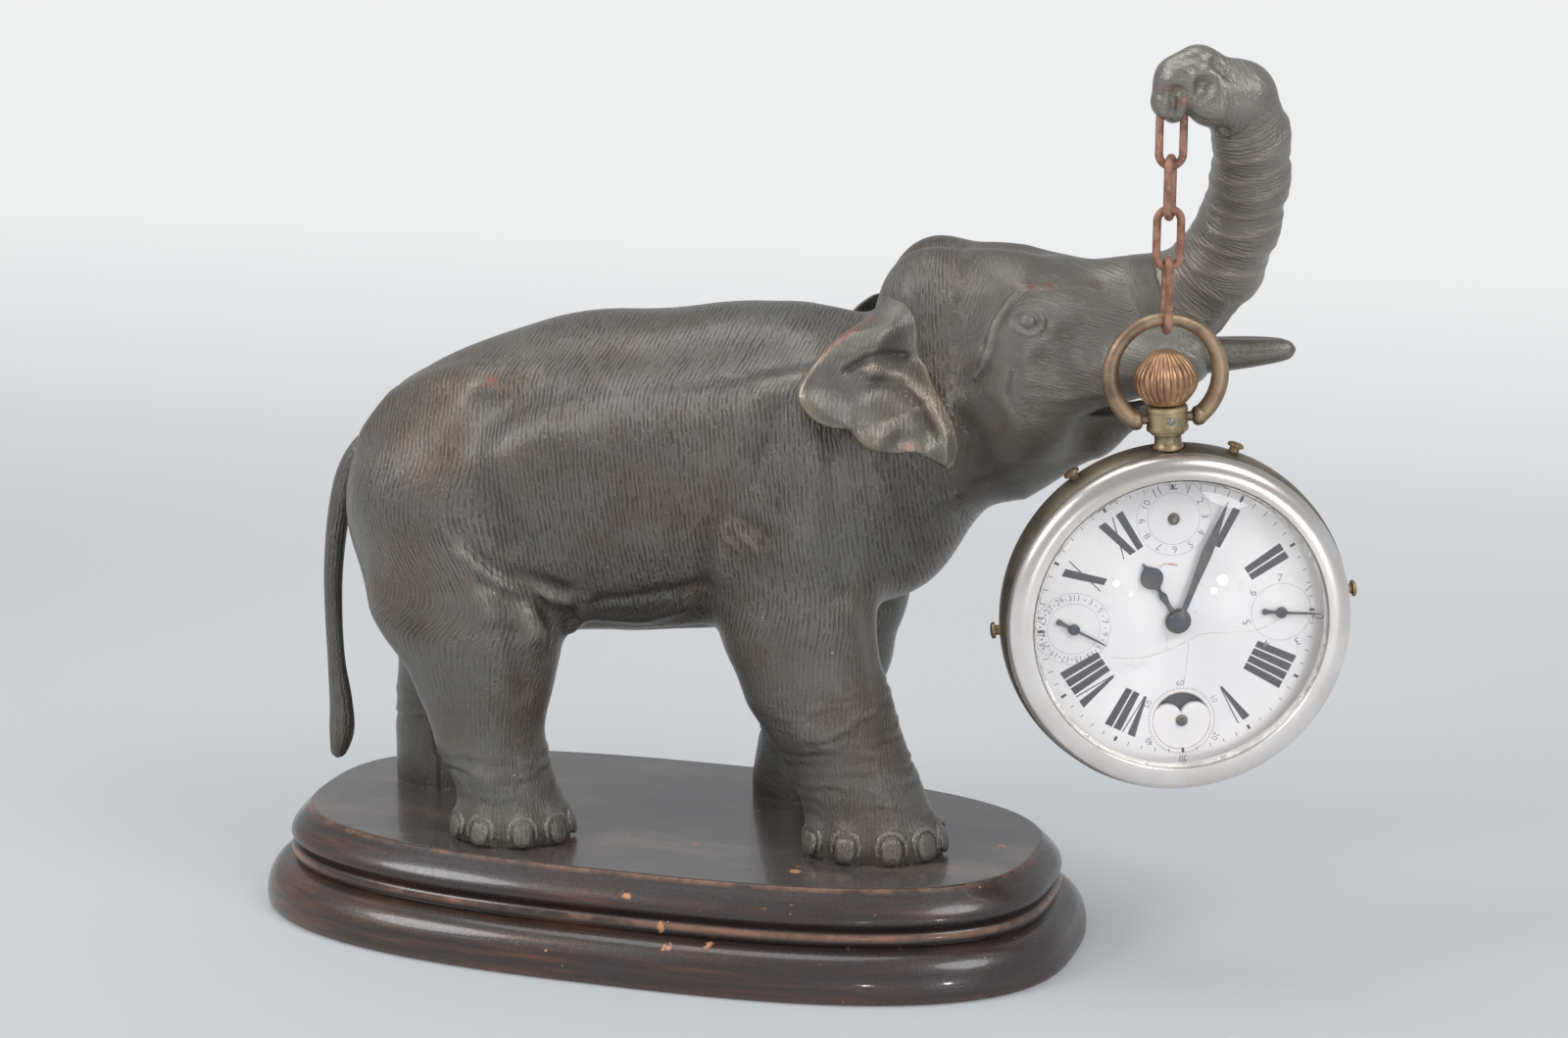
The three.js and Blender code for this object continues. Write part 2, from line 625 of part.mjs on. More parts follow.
// Plinth: the moulding as [height, inset], each curve from its own formula
function mouldingProfile() {
  const profile = [[0, BOTTOM_INSET], [OVOLO_WIDEST / 2, BOTTOM_INSET / 4]];
  for (let i = 0; i <= 3; i++) {
    const a = radians(i * 28);
    const rise = OVOLO_TOP - OVOLO_WIDEST;
    profile.push([OVOLO_WIDEST + rise * Math.sin(a), BEAD_INSET * (1 - Math.cos(a))]);
  }
  profile.push([BEAD_HEIGHT - BEAD_RADIUS, BEAD_INSET + BEAD_RADIUS / 2]);
  profile.push([BEAD_HEIGHT, BEAD_INSET]);
  profile.push([BEAD_HEIGHT + BEAD_RADIUS, BEAD_INSET + BEAD_RADIUS / 2]);
  profile.push([BEAD_HEIGHT + BEAD_RADIUS + FIT, QUIRK_INSET]);
  profile.push([RIDGE_HEIGHT - BEAD_RADIUS / 2, RIDGE_INSET + FIT]);
  for (let i = 0; i <= 3; i++) {
    const t = i / 3;
    const swell = (PLINTH_TOP_INSET - RIDGE_INSET) * (t * t * (1.8 - 0.8 * t));
    profile.push([mix(RIDGE_HEIGHT, PLINTH_HEIGHT, t), RIDGE_INSET + swell]);
  }
  return profile;
}

function plinthRing([height, inset]) {
  const a = PLINTH_LENGTH / 2 - inset;
  const b = PLINTH_DEPTH / 2 - inset;
  const ring = [];
  for (let i = 0; i < PLINTH_STEPS; i++) {
    const t = (2 * Math.PI * i) / PLINTH_STEPS;
    const power = (x) => Math.sign(x) * Math.abs(x) ** (2 / PLINTH_ROUNDNESS);
    ring.push([a * power(Math.cos(t)), b * power(Math.sin(t)), height]);
  }
  return ring;
}

const screwHoles = footPlaces.flatMap(([x, y]) => [
  post(SCREW_RADIUS + FIT, COUNTERBORE_DEPTH - 1, PLINTH_HEIGHT + 1, SCREW_SIDES).translate(x, y, 0),
  post(COUNTERBORE_RADIUS, -1, COUNTERBORE_DEPTH, SCREW_SIDES).translate(x, y, 0),
]);
const plinthBlank = loft(mouldingProfile().map(plinthRing));
add("wooden_plinth", cut(plinthBlank, ...screwHoles), "wood");

// Screws: pan head on the counterbore's shelf, shank up into the foot
footPlaces.forEach(([x, y], i) => {
  const tip = PLINTH_HEIGHT + SCREW_GRIP;
  const head = COUNTERBORE_DEPTH - SCREW_HEAD_HEIGHT;
  const profile = [
    [0, head], [SCREW_HEAD_RADIUS * 0.7, head], [SCREW_HEAD_RADIUS, head + FIT * 2],
    [SCREW_HEAD_RADIUS, COUNTERBORE_DEPTH], [SCREW_RADIUS, COUNTERBORE_DEPTH],
    [SCREW_RADIUS, tip - SCREW_RADIUS], [0, tip],
  ];
  add(`foot_screw_${i + 1}`, turned(profile, SCREW_SIDES).translate(x, y, 0), "steel");
});

// Elephant castings
function halfSpace(side) {
  const near = (side * (CUTTER_SIZE - NECK_JOINT_GAP)) / 2;
  const g = new THREE.BoxGeometry(CUTTER_SIZE, CUTTER_SIZE, CUTTER_SIZE).translate(near, 0, 0);
  return g.rotateY(radians(-NECK_CUT_TILT)).translate(...NECK_CUT);
}
const underground = new THREE.BoxGeometry(CUTTER_SIZE, CUTTER_SIZE, CUTTER_DEPTH)
  .translate(0, 0, -CUTTER_DEPTH / 2);
const footHoles = FOOT_CENTRES.map(([u, v]) =>
  post(SCREW_RADIUS + FIT, -2, SCREW_GRIP + FIT, SCREW_SIDES).translate(u, v, 0));

const grown = (points, extra) => bar(
  points.map((p, i) => {
    if (i > 0) return p.slice(0, 3);
    const back = points[0].slice(0, 3).map((x, k) => x - points[1][k]);
    const length = Math.hypot(...back);
    return points[0].slice(0, 3).map((x, k) => x + (back[k] / length) * extra);
  }),
  points.map((p) => p[3] + extra),
);

// Grid limits round a list of [u, v, w, radius] balls
const around = (balls, margin) => [
  [0, 1, 2].map((i) => Math.min(...balls.map((b) => b[i] - b[3])) - margin),
  [0, 1, 2].map((i) => Math.max(...balls.map((b) => b[i] + b[3])) + margin),
];
const ball = ({ at, radii }) => [...at, Math.max(...radii)];
const ends = ({ from, to, radii }) => [[...from, radii[0]], [...to, radii[1]]];
const bodyBalls = [BARREL, RUMP, SHOULDER, CHEST].map(ball);
bodyBalls.push(...NEAR_FORE_LEG, ...FAR_FORE_LEG, ...NEAR_HIND_LEG, ...FAR_HIND_LEG);
const headBalls = [ball(SKULL), ball(CHEEK), ...ends(BROW), ...ends(JAW), ...ends(LOWER_LIP)];
headBalls.push(...ends(NECK), ...ends(NEAR_SHEATH), ...ends(FAR_SHEATH), ...TRUNK, ...TRUNK_FINGER);
const bodySkin = skin(elephantField, ...around(bodyBalls, 2 * BODY_CELL), BODY_CELL);
const bodySolid = cut(bodySkin, underground, halfSpace(1), grown(TAIL, CAST_FIT), ...footHoles);
add("elephant_body", bodySolid, "bronze", elephantPlace);

// Trunk-tip hook: a ring across the end of the finger, which the first link rides on
const finger = new THREE.Vector3(...TRUNK_FINGER[2].slice(0, 3)).applyMatrix4(elephantPlace);
const chainAt = [finger.x + CHAIN_SHIFT[0], finger.y + CHAIN_SHIFT[1]];
const hookBar = finger.z - HOOK_BELOW_FINGER;
const hookTurn = radians(WATCH_TURN - 90 + HOOK_TURN);
const hookAxis = [Math.cos(hookTurn), Math.sin(hookTurn), 0];
const hookAt = [...chainAt, hookBar + HOOK_RADIUS];
const hookRing = [];
for (let i = 0; i < 16; i++) {
  const a = (2 * Math.PI * i) / 16;
  hookRing.push(inElephant(sum(sum(hookAt, scaled(hookAxis, HOOK_RADIUS * Math.cos(a))),
    [0, 0, HOOK_RADIUS * Math.sin(a)])));
}
const hook = bar(hookRing, hookRing.map(() => HOOK_WIRE), 8, true);
const headSkin = skin(elephantField, ...around(headBalls, 2 * HEAD_CELL), HEAD_CELL);
const tusks = [NEAR_TUSK, FAR_TUSK];
const headSolid = cut(join(headSkin, hook), halfSpace(-1), ...tusks.map((t) => grown(t, CAST_FIT)));
add("elephant_head", headSolid, "bronze", elephantPlace);

// Ears, tusks and tail
function ear(side) {
  const flip = ([u, v, w]) => new THREE.Vector3(u, -side * v, w);
  const root = new THREE.CatmullRomCurve3(EAR_ROOT.map(flip));
  const edge = new THREE.CatmullRomCurve3(EAR_EDGE.map(flip));
  const middle = (i, j) => {
    const t = j / EAR_ALONG;
    const s = i / EAR_ACROSS;
    const p = root.getPoint(t).lerp(edge.getPoint(t), s);
    p.y += side * EAR_BULGE * Math.sin(Math.PI * s) * Math.sin(Math.PI * t);
    return p;
  };
  const rings = [];
  for (let j = 0; j <= EAR_ALONG; j++) {
    const front = [];
    const back = [];
    for (let i = 0; i <= EAR_ACROSS; i++) {
      const p = middle(i, j);
      const half = (EAR_THICKNESS / 2) * (i === EAR_ACROSS ? 0.6 : 1);
      front.push([p.x, p.y + side * half, p.z]);
      back.unshift([p.x, p.y - side * half, p.z]);
    }
    rings.push([...front, ...back]);
  }
  return loft(rings);
}
const nearNeck = (p) => {
  const box = Math.max(...p.map((x, i) => Math.abs(x - EAR_SEAT.at[i]) - EAR_SEAT.half[i]));
  return Math.max(elephantField(p) - CAST_FIT, box);
};
const seatReach = EAR_SEAT.half.map((half) => half + EAR_SEAT.margin);
const neckTool = skin(nearNeck, sum(EAR_SEAT.at, scaled(seatReach, -1)), sum(EAR_SEAT.at, seatReach),
  HEAD_CELL + 0.4);
add("right_ear", cut(ear(-1), neckTool), "bronze", elephantPlace);
add("left_ear", cut(ear(1), neckTool), "bronze", elephantPlace);
const solidBar = (points) => bar(points.map((p) => p.slice(0, 3)), points.map((p) => p[3]));
add("right_tusk", solidBar(NEAR_TUSK), "ivory", elephantPlace);
add("left_tusk", solidBar(FAR_TUSK), "ivory", elephantPlace);
add("tail", solidBar(TAIL), "bronze", elephantPlace);

// Chain: each link's wire rests on the one above, and the bow on the last
const linkLengths = [LINK_LENGTH, LINK_LENGTH, LINK_LENGTH, LAST_LINK_LENGTH];
const linkStep = 2 * LINK_WIRE + FIT;
let barHeight = hookBar;
let top = barHeight + HOOK_WIRE + FIT + LINK_WIRE;
const linkPivots = [];
linkLengths.forEach((length, i) => {
  linkPivots.push(barHeight);
  const reach = length - 2 * LINK_WIRE;
  const bottom = top - reach;
  const twist = radians(WATCH_TURN + LINK_TWIST[i]);
  const path = [];
  for (const [end, from] of [[top - LINK_HALF_WIDTH, 0], [bottom + LINK_HALF_WIDTH, 180]]) {
    for (let k = 0; k <= 5; k++) {
      const a = radians(from + k * 36);
      const across = LINK_HALF_WIDTH * Math.cos(a);
      const z = end + LINK_HALF_WIDTH * Math.sin(a);
      path.push([chainAt[0] + across * Math.cos(twist), chainAt[1] + across * Math.sin(twist), z]);
    }
  }
  add(`chain_link_${i + 1}`, bar(path, path.map(() => LINK_WIRE), 7, true), "copper");
  barHeight = bottom;
  top = bottom + linkStep;
});
linkPivots.push(barHeight);

// Watch frame: x along the dial, y up it, z out of it; it leans about the last link
const collarMiddle = CASE_RADIUS - FIT + NECK_HEIGHT + COLLAR_HEIGHT / 2;
const bowCentre = collarMiddle + BOW_RADIUS * Math.cos(radians(BOW_END_ANGLE));
const hangGap = LINK_WIRE + FIT + BOW_WIRE_TOP;
const watchPlace = new THREE.Matrix4().makeTranslation(...chainAt, barHeight);
watchPlace.multiply(new THREE.Matrix4().makeRotationZ(radians(WATCH_TURN)));
watchPlace.multiply(new THREE.Matrix4().makeRotationX(Math.PI / 2));
watchPlace.multiply(new THREE.Matrix4().makeRotationZ(radians(WATCH_LEAN)));
const hangReach = Math.sqrt((BOW_RADIUS - hangGap) ** 2 - BOW_HANGS_OFF ** 2);
watchPlace.multiply(new THREE.Matrix4().makeTranslation(-BOW_HANGS_OFF, -bowCentre - hangReach, 0));
const watch = (name, geometry, material) => add(name, geometry, material, watchPlace);

// Bow: an open ring, thicker towards its ends, with a pin into the collar at each
const bowPath = [];
const bowRadii = [];
for (let i = 0; i <= 20; i++) {
  const a = radians(mix(BOW_END_ANGLE, 360 - BOW_END_ANGLE, i / 20));
  bowPath.push([BOW_RADIUS * Math.sin(a), bowCentre - BOW_RADIUS * Math.cos(a), 0]);
  bowRadii.push(mix(BOW_WIRE_TOP, BOW_WIRE_END, Math.min(1, 0.85 * (1 + Math.cos(a)))));
}
const bowPin = (side) => {
  const inner = COLLAR_RADIUS - BOW_PIN_REACH;
  const g = post(BOW_PIN_RADIUS, inner, BOW_RADIUS * Math.sin(radians(BOW_END_ANGLE)), 10);
  return g.rotateY((side * Math.PI) / 2).translate(0, collarMiddle, 0);
};
watch("bow", join(bar(bowPath, bowRadii, 8), bowPin(1), bowPin(-1)), "gunmetal");

// Pendant: neck and collar, bored for the stem and for the bow's pins
const neckFoot = CASE_RADIUS - FIT;
const collarFoot = neckFoot + NECK_HEIGHT;
const collarTop = collarFoot + COLLAR_HEIGHT;
const upright = (geometry) => geometry.rotateX(-Math.PI / 2);
const pendantProfile = [
  [0, neckFoot - FIT], [NECK_RADIUS + 0.5, neckFoot - FIT], [NECK_RADIUS, neckFoot + 1],
  [NECK_RADIUS, collarFoot - 0.6], [COLLAR_RADIUS - 0.5, collarFoot], [COLLAR_RADIUS, collarFoot + 0.5],
  [COLLAR_RADIUS, collarTop - 0.6], [COLLAR_RADIUS - 0.6, collarTop], [0, collarTop],
];
const pinHole = (side) => {
  const inner = COLLAR_RADIUS - BOW_PIN_REACH - FIT;
  const g = post(BOW_PIN_RADIUS + FIT, inner, COLLAR_RADIUS + 2, 10);
  return g.rotateY((side * Math.PI) / 2).translate(0, collarMiddle, 0);
};
const stemBore = (radius) => upright(post(radius, neckFoot - 12, collarTop + 2, 12));
const screwSeat = post(PENDANT_SCREW_RADIUS + FIT / 2, COLLAR_RADIUS - 1.2, COLLAR_RADIUS + 2, 8)
  .translate(0, collarMiddle, 0);
const pendantBlank = upright(turned(pendantProfile, 16));
watch("pendant",
  cut(pendantBlank, pinHole(1), pinHole(-1), stemBore(STEM_RADIUS + FIT), screwSeat), "gunmetal");
const screwFront = COLLAR_RADIUS + 0.35;
watch("pendant_screw",
  post(PENDANT_SCREW_RADIUS, COLLAR_RADIUS - 1.2 + FIT / 2, screwFront, 8).translate(0, collarMiddle, 0),
  "steel");

// Crown: onion form with flutes, on the winding stem
const crownFoot = collarTop + FIT;
const crownTop = crownFoot + CROWN_HEIGHT;
const crownRings = [];
for (let i = 0; i <= 5; i++) {
  const t = i / 5;
  const bulge = Math.sin(Math.PI * mix(0.16, 0.93, t)) ** 0.75;
  const ring = [];
  for (let k = 0; k < 2 * CROWN_FLUTES; k++) {
    const a = (Math.PI * k) / CROWN_FLUTES;
    const flute = t < 0.08 || t > 0.95 ? 0 : k % 2 ? CROWN_FLUTE_DEPTH : 0;
    const r = CROWN_RADIUS * bulge - flute;
    ring.push([r * Math.sin(a), mix(crownFoot, crownTop, t), r * Math.cos(a)]);
  }
  crownRings.push(ring);
}
const stemTop = crownFoot + CROWN_HEIGHT * 0.6;
const stemHole = upright(post(STEM_RADIUS + FIT / 2, crownFoot - 2, stemTop + FIT / 2, 12));
watch("crown", cut(loft(crownRings), stemHole), "crown");
const stemFoot = PLATE_RADIUS + FIT;
watch("winding_stem", upright(post(STEM_RADIUS, stemFoot, stemTop, 12)), "steel");

// Case band: a barrel-shaped ring, bored for the stem and the pushers
const bandProfile = [
  [CASE_BORE, -BAND_BACK], [CASE_RADIUS - BAND_CROWNING, -BAND_BACK],
  [CASE_RADIUS - BAND_CROWNING / 3, mix(-BAND_BACK, BAND_FRONT, 0.2)],
  [CASE_RADIUS, mix(-BAND_BACK, BAND_FRONT, 0.5)],
  [CASE_RADIUS - BAND_CROWNING / 3, mix(-BAND_BACK, BAND_FRONT, 0.8)],
  [CASE_RADIUS - BAND_CROWNING, BAND_FRONT], [CASE_BORE, BAND_FRONT],
  [CASE_BORE, -BAND_BACK],
];
const bandMiddle = mix(-BAND_BACK, BAND_FRONT, 0.5);
const pushAxis = (angle) => [Math.sin(radians(-angle)), Math.cos(radians(-angle))];
const radialPost = (radius, from, to, angle, sides = 10) =>
  upright(post(radius, from, to, sides)).rotateZ(radians(angle)).translate(0, 0, bandMiddle);
const pusherBores = PUSHER_ANGLES.map((a) =>
  radialPost(PUSHER_RADIUS + FIT, CASE_BORE - 2, CASE_RADIUS + 2, a));
const pendantSeat = upright(post(NECK_RADIUS + 0.5 + FIT, neckFoot - 2 * FIT, CASE_RADIUS + 3, 20));
watch("case_band",
  cut(turned(bandProfile), ...pusherBores, stemBore(STEM_RADIUS + FIT), pendantSeat), "gunmetal");

// Pushers: a round head outside the band, the shank through it
const pusherNames = ["date_corrector", "month_corrector", "setting_pin", "day_corrector"];
PUSHER_ANGLES.forEach((angle, i) => {
  const headFoot = CASE_RADIUS + FIT + PUSHER_TRAVEL;
  const shank = radialPost(PUSHER_RADIUS, headFoot - PUSHER_LENGTH, headFoot + 0.5, angle, 8);
  const head = radialPost(PUSHER_HEAD_RADIUS, headFoot, headFoot + PUSHER_HEAD, angle, 12);
  watch(pusherNames[i], join(head, shank), "brass");
});

// Back cover, bezel and domed crystal
const backEdge = CASE_RADIUS - BAND_CROWNING;
const dome = (radius, edge, rise, steps, from = 0) => {
  const points = [];
  for (let i = from; i <= steps; i++) {
    const r = (radius * i) / steps;
    points.push([r, edge + rise * (1 - (i / steps) ** 2.6)]);
  }
  return points;
};
const outerBack = dome(backEdge, -BAND_BACK - BACK_WALL, -BACK_DOME + BACK_WALL, 5);
const innerBack = dome(CASE_BORE - 1, -BAND_BACK, -BACK_DOME + BACK_WALL, 4).reverse();
watch("back_cover", turned([...outerBack, [backEdge, -BAND_BACK], ...innerBack]), "gunmetal");

const crystalSeat = BAND_FRONT + BEZEL_HEIGHT * 0.45;
const bezelProfile = [
  [BEZEL_OPENING - 1, BAND_FRONT], [BEZEL_RADIUS, BAND_FRONT], [BEZEL_RADIUS, BAND_FRONT + 1],
  [mix(BEZEL_OPENING, BEZEL_RADIUS, 0.75), BAND_FRONT + BEZEL_HEIGHT * 0.75],
  [mix(BEZEL_OPENING, BEZEL_RADIUS, 0.3), BAND_FRONT + BEZEL_HEIGHT],
  [BEZEL_OPENING, BAND_FRONT + BEZEL_HEIGHT], [BEZEL_OPENING, crystalSeat],
  [BEZEL_OPENING - 1, crystalSeat], [BEZEL_OPENING - 1, BAND_FRONT],
];
watch("bezel", turned(bezelProfile), "silver");
const crystalRadius = BEZEL_OPENING - FIT;
const crystalEdge = BAND_FRONT + BEZEL_HEIGHT;
const outerCrystal = dome(crystalRadius, crystalEdge, CRYSTAL_DOME, 5);
const innerCrystal = dome(crystalRadius - CRYSTAL_WALL, crystalSeat, CRYSTAL_DOME + crystalEdge
  - crystalSeat - CRYSTAL_WALL, 4).reverse();
watch("crystal", turned([...outerCrystal, [crystalRadius, crystalSeat], ...innerCrystal]), "glass");

// Dial: an enamelled disc with a hole at every arbor and the moon's aperture
const dialFront = DIAL_BACK + DIAL_THICKNESS;
const disc = new THREE.Shape().absarc(0, 0, DIAL_RADIUS, 0, 2 * Math.PI);
const hole = (x, y, r) => new THREE.Path().absarc(x, y, r, 0, 2 * Math.PI, true);
const subdials = {
  date: [-SUBDIAL_DISTANCE, 0],
  day: [SUBDIAL_DISTANCE, 0],
  month: [0, SUBDIAL_DISTANCE],
  seconds: [0, -SUBDIAL_DISTANCE],
};
disc.holes.push(hole(0, 0, HOUR_PIPE_RADIUS + FIT));
for (const [x, y] of Object.values(subdials)) disc.holes.push(hole(x, y, POST_RADIUS + FIT));

// The moon's window: an arc above the seconds arbor, with two humps that hide the moon's halves
function moonWindow() {
  const [across, up] = MOON_HUMP_AT;
  const middle = -SUBDIAL_DISTANCE;
  const reach = Math.hypot(across, up);
  const spread = MOON_WINDOW_RADIUS ** 2 + reach ** 2 - MOON_HUMP_RADIUS ** 2;
  const corner = Math.atan2(up, across) + Math.acos(spread / (2 * MOON_WINDOW_RADIUS * reach));
  const outer = Math.atan2(
    MOON_WINDOW_RADIUS * Math.sin(corner) - up,
    MOON_WINDOW_RADIUS * Math.cos(corner) - across,
  );
  const notch = Math.acos(across / MOON_HUMP_RADIUS);
  const arc = (x, y, radius, from, to, steps) => Array.from({ length: steps }, (_, i) => {
    const turn = mix(from, to, i / steps);
    return new THREE.Vector2(x + radius * Math.cos(turn), y + radius * Math.sin(turn));
  });
  return new THREE.Path([
    ...arc(0, middle, MOON_WINDOW_RADIUS, corner, Math.PI - corner, 8),
    ...arc(-across, middle + up, MOON_HUMP_RADIUS, Math.PI - outer, notch, 5),
    ...arc(across, middle + up, MOON_HUMP_RADIUS, Math.PI - notch, outer, 5),
  ]);
}
disc.holes.push(moonWindow());
const dialSolid = new THREE.ExtrudeGeometry(disc, {
  depth: DIAL_THICKNESS, bevelEnabled: false, curveSegments: 11,
});
watch("dial", dialSolid.translate(0, 0, DIAL_BACK), "enamel");

// Hands: flat outlines on pipes that turn in one another
const bearing = (shape, depth, angle, z) => {
  const g = new THREE.ExtrudeGeometry(shape, { depth, bevelEnabled: false, curveSegments: 6 });
  return g.rotateZ(radians(-angle)).translate(0, 0, z);
};
const outline = (points) => new THREE.Shape(points.map(([x, y]) => new THREE.Vector2(x, y)));
const both = (half) => outline([...half, ...half.slice().reverse().map(([x, y]) => [-x, y])]);
const hourHand = both([
  [0.55, 0], [0.5, HOUR_HAND_LENGTH * 0.52], [1.7, HOUR_HAND_LENGTH * 0.6],
  [2.1, HOUR_HAND_LENGTH * 0.7], [1.4, HOUR_HAND_LENGTH * 0.81], [0.5, HOUR_HAND_LENGTH * 0.87],
  [0.15, HOUR_HAND_LENGTH],
]);
const minuteHand = both([
  [0.5, 0], [0.6, MINUTE_HAND_LENGTH * 0.6], [1.1, MINUTE_HAND_LENGTH * 0.7],
  [0.5, MINUTE_HAND_LENGTH * 0.8], [0.15, MINUTE_HAND_LENGTH],
]);
const hourLevel = dialFront + HAND_SPACING;
const minuteLevel = hourLevel + HAND_THICKNESS + HAND_SPACING;
const plateFront = 0;
const motionLevel = plateFront + 0.2;
const pipe = (outer, inner, from, to, sides = 16) => turned([
  [inner, from], [outer, from], [outer, to], [inner, to], [inner, from],
], sides);
const hourBoss = join(
  pipe(HOUR_PIPE_RADIUS, CANNON_RADIUS + FIT, motionLevel, hourLevel + HAND_THICKNESS),
  cut(join(bearing(hourHand, HAND_THICKNESS, HOUR_HAND_ANGLE, hourLevel),
    post(2.6, hourLevel, hourLevel + HAND_THICKNESS, 14)),
  post(HOUR_PIPE_RADIUS - 0.1, hourLevel - 1, hourLevel + 1, 16)),
);
watch("hour_hand", hourBoss, "blued");
const minuteTop = minuteLevel + HAND_THICKNESS + 0.5;
watch("minute_hand", join(
  bearing(minuteHand, HAND_THICKNESS, MINUTE_HAND_ANGLE, minuteLevel),
  post(2.2, minuteLevel, minuteTop, 12),
  post(CANNON_RADIUS, plateFront - PLATE_THICKNESS / 2 + FIT, minuteLevel + 0.2, 12),
), "blued");

// Calendar hands and the two bare posts, each on its own arbor from the plate, with the
// wheel that turns it in a recess of the plate
const arborFoot = plateFront - PLATE_THICKNESS / 2 + FIT - WHEEL_THICKNESS;
const wheel = () => {
  const foot = plateFront - WHEEL_RECESS + FIT;
  return post(WHEEL_RADIUS, foot, foot + WHEEL_THICKNESS, 10);
};
const calendarHand = (angle) => {
  const half = [
    [0.35, -CALENDAR_TAIL_LENGTH * 0.5], [0.8, -CALENDAR_TAIL_LENGTH * 0.8],
    [0.3, -CALENDAR_TAIL_LENGTH],
  ].reverse();
  half.push([0.35, 0], [0.3, CALENDAR_HAND_LENGTH * 0.6], [0.9, CALENDAR_HAND_LENGTH * 0.72],
    [0.1, CALENDAR_HAND_LENGTH]);
  return bearing(both(half), HAND_THICKNESS, angle, hourLevel - 0.15);
};
for (const [name, angle] of [["date", DATE_HAND_ANGLE], ["day", DAY_HAND_ANGLE]]) {
  const [x, y] = subdials[name];
  const arbor = join(calendarHand(angle), post(1.1, hourLevel - 0.15, hourLevel + 0.35, 12),
    post(POST_RADIUS, arborFoot, hourLevel, 8), wheel());
  watch(`${name}_hand`, arbor.translate(x, y, 0), "blued");
}
for (const name of ["month", "seconds"]) {
  const [x, y] = subdials[name];
  const arbor = join(post(POST_RADIUS, arborFoot, dialFront + 0.9, 8), wheel());
  watch(`${name}_arbor`, arbor.translate(x, y, 0), "brass");
}

// Moon disc under the dial, turning round the seconds arbor's tube
const moonCentre = subdials.seconds;
const moonDisc = pipe(MOON_RADIUS, POST_RADIUS + 2 * FIT, motionLevel, motionLevel + MOON_THICKNESS, 24);
watch("moon_disc", moonDisc.translate(...moonCentre, 0), "blued");

// Movement: the pillar plate carries the dial, the arbors and the bridge behind it
const plateBores = [
  post(CANNON_RADIUS + FIT, plateFront - PLATE_THICKNESS / 2, plateFront + 1, 12),
  ...Object.values(subdials).flatMap(([x, y]) => [
    post(POST_RADIUS + FIT, arborFoot - FIT, plateFront + 1, 8).translate(x, y, 0),
    post(WHEEL_RADIUS + 2 * FIT, plateFront - WHEEL_RECESS, plateFront + 1, 10).translate(x, y, 0),
  ]),
];
const plateBlank = turned([
  [0, plateFront - PLATE_THICKNESS], [PLATE_RADIUS, plateFront - PLATE_THICKNESS],
  [PLATE_RADIUS, plateFront], [0, plateFront],
]);
const dialFoot = pipe(PLATE_RADIUS - DIAL_FOOT_STEP, DIAL_FOOT_BORE, plateFront - 0.2, DIAL_BACK);
watch("movement_plate", join(cut(plateBlank, ...plateBores), dialFoot), "brass");
const bridgeTop = plateFront - PLATE_THICKNESS - BRIDGE_SEAT_GAP;
watch("train_bridge", turned([
  [0, bridgeTop - BRIDGE_THICKNESS], [BRIDGE_RADIUS - 0.6, bridgeTop - BRIDGE_THICKNESS],
  [BRIDGE_RADIUS, bridgeTop - BRIDGE_THICKNESS + 0.6], [BRIDGE_RADIUS, bridgeTop], [0, bridgeTop],
]), "brass");

export default clock;
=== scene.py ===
# Figural clock: a cast elephant on a moulded wooden plinth holds up a calendar
# pocket watch, which hangs from a short chain at the tip of its trunk.

import json
import math

import bmesh
import bpy
import numpy as np
from mathutils import Matrix, Vector


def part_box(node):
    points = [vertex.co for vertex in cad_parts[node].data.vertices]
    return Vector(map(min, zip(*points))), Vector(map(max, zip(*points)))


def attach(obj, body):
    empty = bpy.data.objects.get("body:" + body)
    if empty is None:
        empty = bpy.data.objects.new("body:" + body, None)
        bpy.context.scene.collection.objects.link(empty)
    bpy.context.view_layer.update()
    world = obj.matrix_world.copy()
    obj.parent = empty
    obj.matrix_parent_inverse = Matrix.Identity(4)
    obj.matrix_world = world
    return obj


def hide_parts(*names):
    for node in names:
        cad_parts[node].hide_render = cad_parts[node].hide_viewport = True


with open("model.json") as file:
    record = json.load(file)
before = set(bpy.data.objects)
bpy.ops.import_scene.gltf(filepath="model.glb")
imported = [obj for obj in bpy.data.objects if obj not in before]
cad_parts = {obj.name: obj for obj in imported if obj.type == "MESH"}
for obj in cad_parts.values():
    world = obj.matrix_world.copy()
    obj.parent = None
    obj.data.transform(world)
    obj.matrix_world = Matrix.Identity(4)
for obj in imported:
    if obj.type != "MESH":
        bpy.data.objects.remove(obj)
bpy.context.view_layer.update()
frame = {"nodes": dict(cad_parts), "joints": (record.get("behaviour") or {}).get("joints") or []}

# The camera stands a little above the clock and to its front, with a long lens. Soft lamps
# hang above, at the left and at the right. The floor is a pale sheet, painted lighter towards
# the back, with a painted glow that only the camera sees and that is darker towards the front.
camera_lens = bpy.data.cameras.new("camera")
camera_lens.lens = 76.1
camera_aim = Vector((-0.2919, 0.9275, -0.2336))


def linked(name, data):
    """A new object in the scene."""
    made = bpy.data.objects.new(name, data)
    bpy.context.scene.collection.objects.link(made)
    return made


camera = linked("camera", camera_lens)
camera.location = (0.2275, -0.6416, 0.2507)
camera.rotation_euler = camera_aim.to_track_quat("-Z", "Y").to_euler()
bpy.context.scene.camera = camera
bpy.context.scene.view_settings.view_transform = "Standard"


def shade(red, green, blue):
    """A colour as the eye reads it, 0 to 255, turned into the shader's linear colour."""
    linear = []
    for level in (red, green, blue):
        if level <= 10:
            linear.append(level / 255 / 12.92)
        else:
            linear.append(((level / 255 + 0.055) / 1.055) ** 2.4)
    return (*linear, 1)


